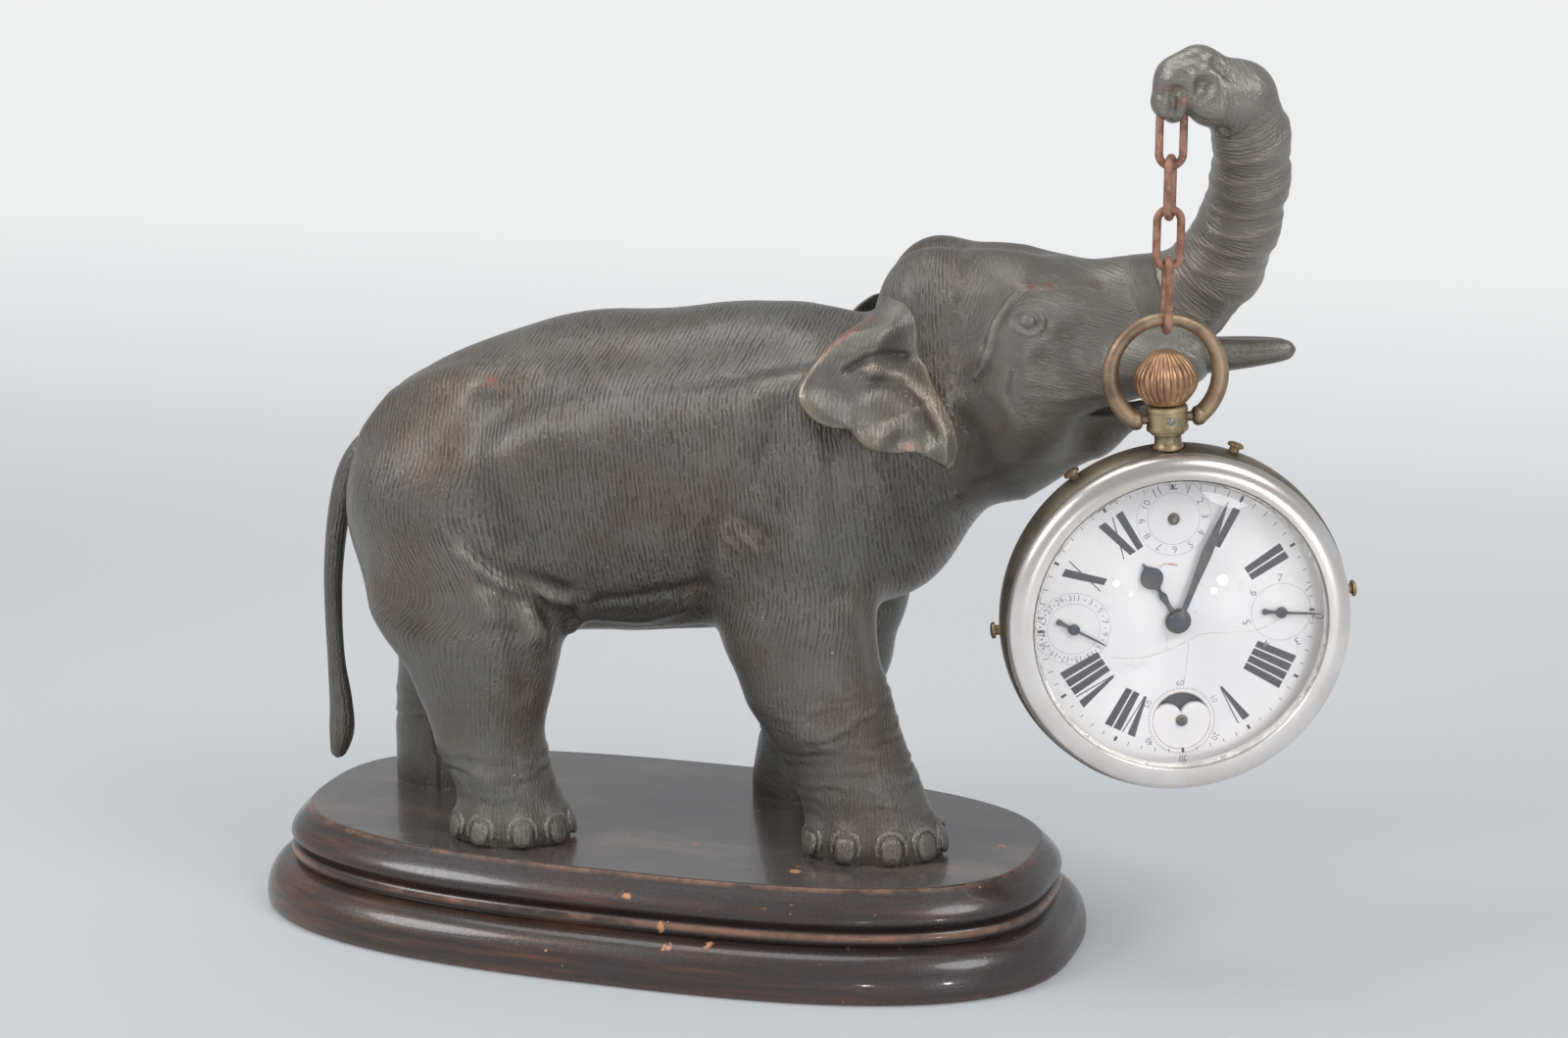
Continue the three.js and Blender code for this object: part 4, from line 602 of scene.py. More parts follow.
def along_trunk(p):
    """Millimetres along the trunk's middle line, and how close it is."""
    nearest = np.full(len(p), 1e9)
    travelled = np.zeros(len(p))
    done = 0.0
    for a, b in zip(trunk, trunk[1:]):
        a, b = np.array(a[:3], float), np.array(b[:3], float)
        ab = b - a
        t = np.clip(((p - a) @ ab) / (ab @ ab), 0, 1)
        away = np.linalg.norm(p - a - t[:, None] * ab, axis=1)
        closer = away < nearest
        nearest = np.where(closer, away, nearest)
        travelled = np.where(closer, done + t * np.linalg.norm(ab), travelled)
        done += np.linalg.norm(ab)
    return travelled, nearest


def near_line(p, points):
    """How far each of p lies from the line through points."""
    return np.min([capsule(p, a, b, 0, 0) for a, b in zip(points, points[1:])], axis=0)


def trunk_ribs(p):
    """Thin raised rings along the trunk, 0 to 1."""
    reach_along, off_axis = along_trunk(p)
    ribbed = np.clip((reach_along - 8) / 12, 0, 1) * np.clip((60 - reach_along) / 6, 0, 1)
    ribbed = ribbed * (off_axis < 12) * (p[:, 0] > 85)
    phase = reach_along - 0.25 * p[:, 0] + 0.4 * np.sin(p[:, 1] * 0.5)
    return ribbed * np.exp(-(np.sin(math.pi * phase / 4.5) / 0.34) ** 2)


eye_middle = np.array([76.3, 17.2, 112.6])


def folds(p):
    """Height of the modelled detail above the large forms."""
    mirror = np.stack([p[:, 0], np.abs(p[:, 1]), p[:, 2]], 1)
    rise = np.zeros(len(p))
    for where, lines in ((mirror, paired_folds), (p, near_folds)):
        for points, height, width in lines:
            box = np.array(points, float)
            hit = np.all((where > box.min(0) - 3 * width) & (where < box.max(0) + 3 * width), axis=1)
            if hit.any():
                rise[hit] += height * np.exp(-(near_line(where[hit], points) / width) ** 2)
    low = p[:, 2] < 9
    q = p[low]
    for centre, radii, turns, size in foot_nails.values():
        for turn in turns:
            at = (centre[0] + radii[0] * math.cos(math.radians(turn)),
                  centre[1] + radii[1] * math.sin(math.radians(turn)), size)
            away = np.linalg.norm((q - np.array(at)) / np.array([1, 1, 1.25]), axis=1)
            rise[low] += 1.1 * np.exp(-(away / (1.1 * size)) ** 4)
    for name, ((back, front), levels) in leg_creases.items():
        side = np.sign(legs[name][3][1])
        hit = (p[:, 2] < 40) & (side * p[:, 1] > 4) & (p[:, 0] > back - 4) & (p[:, 0] < front + 12)
        q = p[hit]
        for number, (level, slope) in enumerate(levels):
            wobble = 0.5 * np.sin(q[:, 0] * 0.45 + 2 * number) + 0.3 * np.sin(q[:, 1] * 0.8 + 3 * number)
            off = q[:, 2] - level - slope * (q[:, 0] - back) - wobble
            fade = 0.5 + 0.5 * np.sin(q[:, 0] * 0.33 + 1.7 * number + 0.2 * q[:, 1])
            line = 0.2 * np.exp(-((off - 1.1) / 0.9) ** 2) - 0.36 * np.exp(-(off / 0.5) ** 2)
            rise[hit] += line * fade
    head = p[:, 0] > 70
    lens = np.linalg.norm((mirror[head] - eye_middle) * np.array([0.8, 1, 1]), axis=1)
    eye = 0.75 * np.exp(-(lens / 1.05) ** 2) - 0.4 * np.exp(-((lens - 1.75) / 0.45) ** 2)
    eye += 0.4 * np.exp(-((lens - 2.5) / 0.5) ** 2) - 0.2 * np.exp(-((lens - 3.4) / 0.5) ** 2)
    rise[head] += 0.75 * eye
    rise[head] += 0.22 * trunk_ribs(p[head])
    return rise


def elephant_form(p):
    """Distance to the elephant with the folds of its hide."""
    d = main_form(p)
    close = np.abs(d) < 6
    d[close] -= folds(p[close])
    return d


neck_cut = np.array([42, 0, 104.0])
neck_lean = math.radians(31)
neck_normal = np.array([math.cos(neck_lean), 0, math.sin(neck_lean)])
settling_rounds = 3
slope_step = 0.04


def skin(form, low, high, cell):
    """Surface nets: one point in each crossed cell of a grid, pulled onto the surface."""
    slabs = 12
    counts = [int((h - l) / cell) + 2 for l, h in zip(low, high)]
    axes = [l + cell * np.arange(n) for l, n in zip(low, counts)]
    grid = np.stack(np.meshgrid(*axes, indexing="ij"), -1).reshape(-1, 3)
    values = np.concatenate([form(part) for part in np.array_split(grid, slabs)]).reshape(counts)
    inside = values < 0
    corners = [(i, j, k) for i in (0, 1) for j in (0, 1) for k in (0, 1)]
    size = [n - 1 for n in counts]
    filled = sum(inside[i:i + size[0], j:j + size[1], k:k + size[2]].astype(int)
                 for i, j, k in corners)
    crossed = (filled > 0) & (filled < 8)
    cells = np.argwhere(crossed)
    number = np.full(crossed.shape, -1)
    number[crossed] = np.arange(len(cells))
    where = np.zeros((len(cells), 3))
    hits = np.zeros(len(cells))
    for axis in range(3):
        for s in (0, 1):
            for t in (0, 1):
                start = np.zeros(3, int)
                start[(axis + 1) % 3] = s
                start[(axis + 2) % 3] = t
                step = np.zeros(3, int)
                step[axis] = 1
                a = values[tuple((cells + start).T)]
                b = values[tuple((cells + start + step).T)]
                cross = (a < 0) != (b < 0)
                share = np.where(cross, a / np.where(cross, a - b, 1), 0)
                where += (start + step * share[:, None]) * cross[:, None]
                hits += cross
    points = np.array(low) + cell * (cells + where / hits[:, None])
    faces = []
    for axis in range(3):
        first, second = (axis + 1) % 3, (axis + 2) % 3
        here = np.take(inside, range(counts[axis] - 1), axis)
        there = np.take(inside, range(1, counts[axis]), axis)
        edges = np.argwhere(here != there)
        edges = edges[(edges[:, first] > 0) & (edges[:, second] > 0)]
        edges = edges[(edges[:, first] < size[first]) & (edges[:, second] < size[second])]
        x = np.eye(3, dtype=int)[first]
        y = np.eye(3, dtype=int)[second]
        quad = np.stack([number[tuple((edges - off).T)] for off in (x + y, y, 0 * x, x)], 1)
        flip = ~inside[tuple(edges.T)]
        quad[flip] = quad[flip][:, ::-1]
        faces.append(quad)
    for _ in range(settling_rounds):
        slope = np.stack([form(points + step) - form(points - step) for step in slope_step * np.eye(3)], 1)
        slope /= 2 * slope_step
        move = slope * (form(points) / np.maximum((slope ** 2).sum(1), 0.3))[:, None]
        points = points - np.clip(move, -cell / 2, cell / 2)
    return points, np.concatenate(faces)


def cut_flat(points, faces, planes):
    """A closed skin cut by planes (point, normal), with what lies behind them kept and capped."""
    made = bmesh.new()
    mesh = bpy.data.meshes.new("cut")
    mesh.from_pydata(points, [], faces.tolist())
    made.from_mesh(mesh)
    bpy.data.meshes.remove(mesh)
    for point, normal in planes:
        everything = made.verts[:] + made.edges[:] + made.faces[:]
        bmesh.ops.bisect_plane(made, geom=everything, plane_co=Vector(point), plane_no=Vector(normal),
                               clear_outer=True)
        rim = [edge for edge in made.edges if edge.is_boundary]
        bmesh.ops.holes_fill(made, edges=rim, sides=0)
    return made


def place_elephant(p):
    """The elephant's own points in the shared frame, in millimetres."""
    x, y = on_plinth(p[:, 0], p[:, 1])
    return np.stack([x, y, p[:, 2] + plinth_height], 1)


def smooth_step(x, low, high):
    """0 below low, 1 above high, smooth between."""
    t = np.clip((x - low) / (high - low), 0, 1)
    return t * t * (3 - 2 * t)


def hide_lines(p):
    """Which way the chased lines run: they lie where the first number stays the same."""
    u, v, w = p.T
    across = u + 0.10 * (w - 70)
    upper = smooth_step(w, 94, 104) * smooth_step(-u, -60, -40)
    across = across - 0.55 * upper * (w - 96)
    haunch = smooth_step(-u, 26, 44) * smooth_step(-w, -84, -60)
    across = across + 0.55 * haunch * (w - 60)
    leg = smooth_step(-w, -58, -44)
    for points in legs.values():
        middle = np.array(points, float)
        order = np.argsort(middle[:, 2])
        cu = np.interp(w, middle[order, 2], middle[order, 0])
        cv = np.interp(w, middle[order, 2], middle[order, 1])
        close = np.hypot(u - cu, v - cv) < 24
        turn = np.arctan2((v - cv) / leg_flatness, u - cu)
        side = np.sign(middle[3, 1])
        turned_out = turn - side * math.pi / 2
        around = -side * 13 * np.arctan2(np.sin(turned_out), np.cos(turned_out))
        across = np.where(close & (side * v > 0), across * (1 - leg) + (around + cu) * leg, across)
    head = smooth_step(u, 60, 76) * smooth_step(w, 70, 84)
    across = across * (1 - head) + head * (1.2 * (w - 100) + 0.35 * u)
    travelled = along_trunk(p)[0]
    on_trunk = smooth_step(travelled, 1, 14) * (u > 92)
    across = across * (1 - on_trunk) + on_trunk * travelled
    return np.stack([across, v + 0.2 * u, w + 0.4 * u * on_trunk], 1)


def relief_of(mesh, rounds):
    """Height of each point over its smoothed surroundings, in millimetres."""
    count = len(mesh.vertices)
    points = np.empty(count * 3)
    mesh.vertices.foreach_get("co", points)
    points = points.reshape(-1, 3) * 1000
    edges = np.empty(len(mesh.edges) * 2, int)
    mesh.edges.foreach_get("vertices", edges)
    a, b = edges.reshape(-1, 2).T
    links = np.bincount(a, minlength=count) + np.bincount(b, minlength=count)
    smoothed = points.copy()
    for _ in range(rounds):
        total = []
        for column in smoothed.T:
            total.append(np.bincount(a, column[b], count) + np.bincount(b, column[a], count))
        smoothed = 0.5 * smoothed + 0.5 * np.stack(total, 1) / np.maximum(links, 1)[:, None]
    normals = np.empty(count * 3)
    mesh.vertex_normals.foreach_get("vector", normals)
    return ((points - smoothed) * normals.reshape(-1, 3)).sum(1)


# Where the patina is rubbed through to copper, as (middle, radius), and the lower lip's edge,
# which is rubbed pale.
copper_spots = [
    ((53.6, -9, 123.6), 3.2), ((76.5, -13.6, 119), 2.4), ((80, -12, 118.8), 2.4),
    ((-34, -17.5, 97.5), 3.2), ((103.1, -31, 161), 3.4), ((106.2, -32, 158.3), 3.2),
    ((102.5, -31, 154.8), 3.0), ((100.5, -29, 158), 3.0), ((-31, -26, 80), 2.6), ((-37, -29, 58), 2.4),
]
lip_edge = [(90.3, -9, 93), (92.1, -8.2, 90.8), (94.3, -7, 88.6), (97, -4, 87.4)]


def set_attribute(mesh, name, values):
    """A number or a vector at each point of a mesh, which its finish reads by name."""
    kind, field = ("FLOAT_VECTOR", "vector") if values.ndim == 2 else ("FLOAT", "value")
    layer = mesh.attributes.get(name) or mesh.attributes.new(name, kind, "POINT")
    layer.data.foreach_set(field, values.astype(np.float32).ravel())


def marks(mesh, points, rounds=14):
    """Attributes of a cast surface: its chased lines, its relief and its worn spots."""
    set_attribute(mesh, "lines", hide_lines(points))
    set_attribute(mesh, "height", relief_of(mesh, rounds))
    on_head = smooth_step(points[:, 0], 56, 70) * smooth_step(points[:, 2], 74, 86)
    on_root = smooth_step(points[:, 0], 84, 96)
    on_leg = smooth_step(-points[:, 2], -56, -36)
    set_attribute(mesh, "hatch", (1 - on_head * (0.85 - 0.4 * on_root)) * (1 - 0.5 * on_leg))
    at_lip = np.clip(1.5 - near_line(points, lip_edge) / 1.1, 0, 1)
    set_attribute(mesh, "pale", np.maximum(at_lip, 0.42 * trunk_ribs(points)))
    worn = np.zeros(len(points))
    for centre, radius in copper_spots:
        worn = np.maximum(worn, 1 - np.linalg.norm(points - np.array(centre), axis=1) / radius)
    set_attribute(mesh, "copper", np.clip(worn, 0, 1))


line_spacing = 0.95


def bronze_finish(name, line_depth=0.19, warmth=0.3, proud=shade(148, 142, 133), painted_light_share=0.5):
    """Dark waxed patina with short chased lines, rubbed brighter on what stands proud.

    Depth is in millimetres, warmth is the share of brown, the last the share of painted light towards the
    trunk."""
    cast = Finish(name)
    here = cast.place()
    lines = cast.attribute("lines", "Vector")
    height = cast.attribute("height")
    hatched = cast.attribute("hatch")
    wander = cast.noise(cast.stretch(lines, (0.2, 0.1, 0.1)), 1.0, 3, 0.55)
    stroke = cast.part(lines, "X") * (2 * math.pi / line_spacing) + 11 * wander
    wave = 0.5 + 0.5 * stroke.calc("SINE", stroke)
    broken = cast.noise(cast.stretch(lines, (0.8, 0.42, 0.42)), 1.0, 2, 0.55).between(0.38, 0.6)
    chased = 1 - (1 - wave.between(0.0, 0.65)) * broken * hatched
    fine = cast.noise(cast.stretch(lines, (2.6, 0.8, 0.8)), 1.0, 2.5, 0.62).between(0.32, 0.68)
    skin_grain = cast.noise(here, 1.5, 4, 0.7)
    pits = cast.noise(here, 3.0, 2, 0.6)
    strength = 0.4 + 0.6 * cast.noise(here, 0.06, 2).between(0.3, 0.6)
    brown = cast.noise(here, 0.035, 5, 0.65).between(0.42, 0.64)
    green = cast.noise(here, 0.05, 3, 0.55).between(0.5, 0.72)
    base = cast.tint(brown * (0.5 + warmth), shade(104, 101, 96), shade(94, 80, 68))
    base = cast.tint(green * 0.6, base, shade(114, 113, 102))
    dark_lines = (1 - chased) * strength * (2.6 * line_depth)
    base = cast.tint(dark_lines, base, shade(58, 52, 46))
    # Painted glints: the crests of the chased lines are painted lighter.
    base = cast.tint(wave.between(0.72, 1.0) * broken * hatched * 0.2, base, shade(156, 151, 142))
    base = cast.tint(height.between(0.05, 0.5) * 0.42, base, proud)
    base = cast.tint((1 - height.between(-0.5, -0.05)) * 0.65, base, shade(50, 46, 42))
    # Painted light: the head and trunk are painted lighter, more towards the front, for the light that
    # falls there.
    painted_light_ramp = cast.part(here, "X").between(50, 125)
    base = cast.tint(painted_light_ramp * painted_light_share, base, shade(150, 145, 137))
    rubbed = (cast.attribute("copper") + 0.9 * (skin_grain - 0.5)).between(0.3, 0.9)
    base = cast.tint(rubbed * 0.65, base, shade(134, 84, 66))
    stipple = cast.noise(cast.stretch(lines, (2.4, 1.6, 1.6)), 1.0, 1).between(0.66, 0.76)
    base = cast.tint(stipple * 0.35, base, shade(150, 144, 130))
    flecks = cast.noise(here, 0.55, 2).between(0.76, 0.8)
    base = cast.tint(flecks, base, shade(178, 174, 162))
    base = cast.tint(cast.attribute("pale") * 0.7, base, shade(184, 168, 150))
    roughness = 0.24 + 0.14 * skin_grain + 0.1 * (1 - chased) - 0.05 * height.between(0.05, 0.5)
    carved = cast.bump(strength * (0.62 * chased + 0.38 * fine), 1.7 * line_depth)
    grained = cast.bump(0.7 * skin_grain + 0.3 * pits, 0.12, carved)
    return cast.close({
        "Base Color": base, "Metallic": 0.62, "Roughness": roughness, "Specular IOR Level": 0.6,
        "Coat Weight": 0.25, "Coat Roughness": 0.3, "Normal": grained,
    })


bronze = bronze_finish("patinated bronze")
body_cell = 0.95
head_cell = 0.62
joint_gap = 0.01


def body_form(p):
    """The body and legs, to a little past where the neck and the feet are cut."""
    past_neck = (p - neck_cut) @ neck_normal - 3
    return np.maximum(np.maximum(elephant_form(p), past_neck), -3 - p[:, 2])


def off_plinth(p):
    """A point of the shared frame, in millimetres, in the elephant's own frame."""
    x, y, z = p[0], p[1] - elephant_shift, p[2] - plinth_height
    return np.array([turn_cos * x + turn_sin * y, turn_cos * y - turn_sin * x, z])


def joint_named(name):
    return next(joint for joint in frame["joints"] if joint["name"] == name)


watch_degrees = 21.5
hook_radius = 3.4
hook_wire = 1.15
hook_fillet = 0.8
hook_reach = 9
hook_turn = math.radians(watch_degrees - 68)
first_swing = np.array(joint_named("link_1_swing")["pos_m"]) * 1000
hook_middle = off_plinth(first_swing + [0, 0, hook_radius])
hook_across = np.array([math.sin(hook_turn - elephant_turn), -math.cos(hook_turn - elephant_turn), 0])


def head_form(p):
    """The head with the hook: a ring cast at the tip of the trunk, which the chain hangs from."""
    behind_neck = -3 - (p - neck_cut) @ neck_normal
    d = np.maximum(elephant_form(p), behind_neck)
    close = np.linalg.norm(p - hook_middle, axis=1) < hook_reach
    q = p[close] - hook_middle
    off = q @ hook_across
    around = np.sqrt(np.maximum((q ** 2).sum(1) - off ** 2, 0))
    ring = np.hypot(around - hook_radius, off) - hook_wire
    d[close] = blend(d[close], ring, hook_fillet)
    return d


def round_bar(path, radii, sides=28, ripple=None):
    """Rings of a bar along a path, closed to a point at each end."""
    path = np.array(path, float)
    tangents = np.gradient(path, axis=0)
    tangents /= np.linalg.norm(tangents, axis=1)[:, None]
    side = np.array([0, 1.0, 0])
    rings = []
    for i, (centre, along, radius) in enumerate(zip(path, tangents, radii)):
        side = side - along * (side @ along)
        side /= np.linalg.norm(side)
        other = np.cross(along, side)
        ring = []
        for k in range(sides):
            turn = 2 * math.pi * k / sides
            r = radius * (ripple(i / (len(path) - 1), turn) if ripple else 1)
            ring.append(centre + r * (side * math.cos(turn) + other * math.sin(turn)))
        rings.append(ring)
    return rings


def toe_nails():
    """Domed nails with a rolled fold of hide over each, as (points, faces) of closed shells."""
    squareness = 2.6
    shells = []
    for centre, radii, turns, size in foot_nails.values():
        for turn in turns:
            forwards, sideways = math.cos(math.radians(turn)), math.sin(math.radians(turn))
            out = np.array([forwards / radii[0], sideways / radii[1], 0])
            out /= np.linalg.norm(out)
            toward = np.array([radii[0] * forwards, radii[1] * sideways, 0])
            toward /= np.linalg.norm(toward)
            low = np.array([centre[0], centre[1], size * 0.95])
            away = 8.0
            for _ in range(30):
                away -= 0.9 * elephant_form((low + toward * away)[None])[0]
            middle = low + toward * away - 0.3 * out
            lean = np.array([0, 0, 1.0]) - 0.22 * out
            lean /= np.linalg.norm(lean)
            side = np.cross(lean, out)
            wide, tall = size * 0.66, size * 0.8
            rings = []
            for level in range(1, 9):
                bend = math.pi * level / 9
                ring = []
                for k in range(24):
                    t = 2 * math.pi * k / 24
                    squared = abs(math.cos(t)) ** squareness + abs(math.sin(t)) ** squareness
                    flat = math.sin(bend) ** 0.7 * squared ** (-1 / squareness)
                    ring.append(middle + side * (wide * flat * math.cos(t))
                                + lean * (tall * flat * math.sin(t)) - out * math.cos(bend))
                rings.append(ring)
            shells.append(loft(rings))
            fold = []
            for step in range(15):
                t = math.radians(-15 + 210 * step / 14)
                fold.append(middle - 0.35 * out + side * ((wide + 0.75) * math.cos(t))
                            + lean * ((tall + 0.8) * math.sin(t) - 0.1))
            thick = [0.3 + 0.7 * math.sin(math.pi * (step + 1) / 16) for step in range(15)]
            shells.append(loft(round_bar(fold, thick, 10)))
    return shells


def casting(name, form, low, high, cell, planes, node, extras=()):
    """A bronze piece skinned over a form between two corners, cut flat and set on the plinth."""
    points, faces = skin(form, low, high, cell)
    made = cut_flat(points, faces, planes)
    for more_points, more_faces in extras:
        verts = [made.verts.new(p) for p in more_points]
        added = [made.faces.new([verts[n] for n in face]) for face in more_faces]
        bmesh.ops.recalc_face_normals(made, faces=added)
    where = np.array([v.co[:] for v in made.verts])
    for vertex, place in zip(made.verts, place_elephant(where) * millimetre):
        vertex.co = place
    mesh = bpy.data.meshes.new(name)
    made.to_mesh(mesh)
    made.free()
    marks(mesh, where)
    mesh.materials.append(bronze)
    return settle(name, mesh, "stand", node, crease=75)


body_planes = [(neck_cut - joint_gap * neck_normal, neck_normal), ((0, 0, joint_gap), (0, 0, -1))]
head_planes = [(neck_cut + joint_gap * neck_normal, -neck_normal)]
casting("body_casting", body_form, (-74, -37, -4.5), (68, 37, 118), body_cell, body_planes,
        "elephant_body", toe_nails())
casting("head_casting", head_form, (32, -36, 62), (132, 24, 172), head_cell, head_planes,
        "elephant_head")

# Ears: two thin castings with a rolled front rim, a hollow bowl and a scalloped lower edge,
# let into the sides of the neck. Their edges run from the top down, as (forwards, up, out),
# the front one's last number counted from the hide, and their folds are (points, height, width).
ear_front = [(50.5, 119.5, -1.6), (53, 115, -1.4), (54.2, 110.5, -1.1), (54.8, 105.6, -0.4),
             (57, 101, 1.0), (59.9, 96.6, 2.1), (62.2, 92.4, 3.0), (63.1, 88, 3.6), (62.2, 84.4, 4.2)]
ear_back = [(48, 119.4, 11), (46.2, 116.6, 14.4), (44.9, 113.9, 17), (43, 112, 19.2),
            (39.8, 110.3, 22), (36.2, 107.4, 25), (33.9, 104.4, 26.6), (31.5, 100.7, 27.8),
            (31.3, 97.3, 28.8), (34.4, 93.8, 29.3), (38.4, 92.4, 29.6), (41.6, 92.0, 29.5),
            (45.2, 88.4, 29.3), (49.6, 87.2, 28.6), (54.2, 87.3, 27.8), (58.1, 85.7, 26.8),
            (61.2, 83.8, 25.6)]
ear_forms = [
    ([(46.5, 103.3), (52.3, 102), (57.2, 97.8), (60.6, 91.2), (61.6, 86)], 1.9, 2.0),
    ([(40.9, 103.2), (44, 105.2), (47.8, 106.1), (51.6, 105.2)], -0.9, 0.9),
    ([(38, 106), (44, 108.5), (49, 110)], 0.7, 3.0),
    ([(47.6, 98.9), (52, 96.3), (55.4, 91.6)], -2.1, 3.6),
    ([(45.6, 90.6), (47, 90)], 1.4, 2.6),
    ([(38, 100), (42, 97)], -0.7, 2.6),
    ([(33.4, 98), (36, 95.6), (40, 94.2)], 0.6, 1.6),
    ([(52, 90), (56, 88.4)], -0.6, 1.6),
]
ear_rows = 96
ear_columns = 44
ear_worn_edge = ([33, 37, 41, 45], [104, 108, 110.5, 113])
ear_worn_spot = (53.5, 88.2)


def smooth_path(points, count):
    """Evenly spread points on a Catmull-Rom curve through the given ones."""
    points = np.array(points, float)
    ends = np.vstack([2 * points[0] - points[1], points, 2 * points[-1] - points[-2]])
    fine = []
    for a, b, c, d in zip(ends, ends[1:], ends[2:], ends[3:]):
        for t in np.linspace(0, 1, 24, endpoint=False):
            fine.append(0.5 * (2 * b + (c - a) * t + (2 * a - 5 * b + 4 * c - d) * t * t
                               + (3 * b - a - 3 * c + d) * t ** 3))
    fine = np.array(fine + [points[-1]])
    travelled = np.concatenate([[0], np.cumsum(np.linalg.norm(np.diff(fine, axis=0), axis=1))])
    even = np.linspace(0, travelled[-1], count)
    return np.stack([np.interp(even, travelled, column) for column in fine.T], 1)


def hide_depth(u, w):
    """How far the elephant's side stands out from its middle plane at u, w."""
    out = np.full(len(u), 40.0)
    for _ in range(60):
        out = out - 0.8 * np.clip(main_form(np.stack([u, out, w], 1)), -2, 3)
    return np.clip(out, 0, 40)


def ear_piece(name, side, node):
    """An ear as a sheet between its two edges, given its folds and a rolled thickness."""
    front = smooth_path(ear_front, ear_rows)
    back = smooth_path(ear_back, ear_rows)
    front[:, 2] = hide_depth(front[:, 0], front[:, 1]) + front[:, 2]
    share = np.linspace(0, 1, ear_columns)
    grid = front[:, None] + (back - front)[:, None] * share[None, :, None]
    t = np.linspace(0, 1, ear_rows)[:, None]
    s = share[None, :]
    hide = hide_depth(grid[..., 0].ravel(), grid[..., 1].ravel()).reshape(grid.shape[:2])
    past_root = smooth_step(s, 0.0, 0.45)
    clear = past_root + smooth_step(t, 0.4, 0.6) * (1 - past_root)
    grid[..., 2] = clear * grid[..., 2] + (1 - clear) * (hide - 1.5 + 4.5 * s)
    grid[..., 2] += 1.6 * np.sin(math.pi * s) * np.sin(math.pi * t) ** 0.6
    sunk = 1 - smooth_step(t, 0.0, 0.24)
    grid[..., 2] = (1 - sunk) * grid[..., 2] + sunk * (hide - 2.2)
    flat = grid.reshape(-1, 3)
    side_view = np.stack([flat[:, 0], flat[:, 1], 0 * flat[:, 0]], 1)
    for points, height, width in ear_forms:
        away = near_line(side_view, [(u, w, 0) for u, w in points])
        flat[:, 2] += height * np.exp(-(away / width) ** 2)
    wide = np.linalg.norm((back - front)[:, :2], axis=1)[:, None]
    edge = np.minimum((1 - s) * wide, s * wide + 1.2)
    rows_in = np.minimum(t, 1 - t) * 60
    edge = np.minimum(edge, rows_in)
    half = 0.18 + 0.95 * np.sqrt(1 - (1 - np.clip(edge / 1.6, 0, 1)) ** 2)
    outer, inner = grid.copy(), grid.copy()
    outer[..., 2] += half
    inner[..., 2] -= half
    sheet_size = ear_rows * ear_columns
    both = np.concatenate([outer.reshape(-1, 3), inner.reshape(-1, 3)])
    points = np.stack([both[:, 0], side * both[:, 2], both[:, 1]], 1)
    number = np.arange(sheet_size).reshape(ear_rows, ear_columns).tolist()
    faces = []
    for row, next_row in zip(number, number[1:]):
        for j in range(ear_columns - 1):
            quad = (row[j], row[j + 1], next_row[j + 1], next_row[j])
            faces.append(quad)
            faces.append(tuple(sheet_size + n for n in reversed(quad)))
    rim = number[0] + [row[-1] for row in number[1:]]
    rim += number[-1][-2::-1] + [row[0] for row in number[-2:0:-1]]
    for a, b in zip(rim, rim[1:] + rim[:1]):
        faces.append((b, a, sheet_size + a, sheet_size + b))
    if side > 0:
        faces = [tuple(reversed(face)) for face in faces]
    mesh = mesh_of(name, place_elephant(points), faces)
    marks(mesh, points, 20)
    u, w = both[:, 0], both[:, 1]
    upper = np.clip(1 - np.abs(w - np.interp(u, *ear_worn_edge)) / 1.6, 0, 1) * (u < 45)
    lower = np.clip(1 - np.hypot(u - ear_worn_spot[0], w - ear_worn_spot[1]) / 2.4, 0, 1)
    set_attribute(mesh, "copper", np.maximum(upper, lower) * (1 if side < 0 else 0.3))
    mesh.materials.append(ear_bronze)
    return settle(name, mesh, "stand", node, crease=0)


ear_bronze = bronze_finish("ear bronze", 0.05, 0.1, shade(176, 162, 136))
ear_piece("near_ear", -1, "right_ear")
ear_piece("far_ear", 1, "left_ear")

# Tusks and tail: solid castings, each let into a socket with a fine gap all round. The tusks
# are rubbed lighter than the hide, and the tail ends in a tuft of heavy hair.
near_tusk = [(97, -9.7, 102.9, 3.3), (104, -10.3, 104.3, 3.5), (112, -10.8, 105.3, 3.4),
             (120, -10.9, 106.2, 2.9), (126, -10.7, 106.9, 2.3), (129.2, -10.5, 107.2, 1.5)]
far_tusk = [(97, 9.7, 100.8, 3.3), (104, 10.3, 101.6, 3.5), (112, 10.8, 102, 3.4),
            (120, 10.9, 102.8, 2.9), (125.5, 10.7, 103.3, 2.3), (128.4, 10.5, 103.6, 1.5)]
tail = [(-57, 0, 82, 2.9), (-64.5, 0, 80, 2.9), (-69.4, 0, 74, 2.7), (-72.2, 0, 65, 2.4),
        (-73.9, 0, 53, 2.1), (-74.3, 0, 42, 1.9), (-74, 0, 31, 1.9), (-73.3, 0, 22, 2.4),
        (-73.4, 0, 15, 2.6), (-74.6, 0, 9, 1.4)]
strands_around, strand_step = 14, 0.9


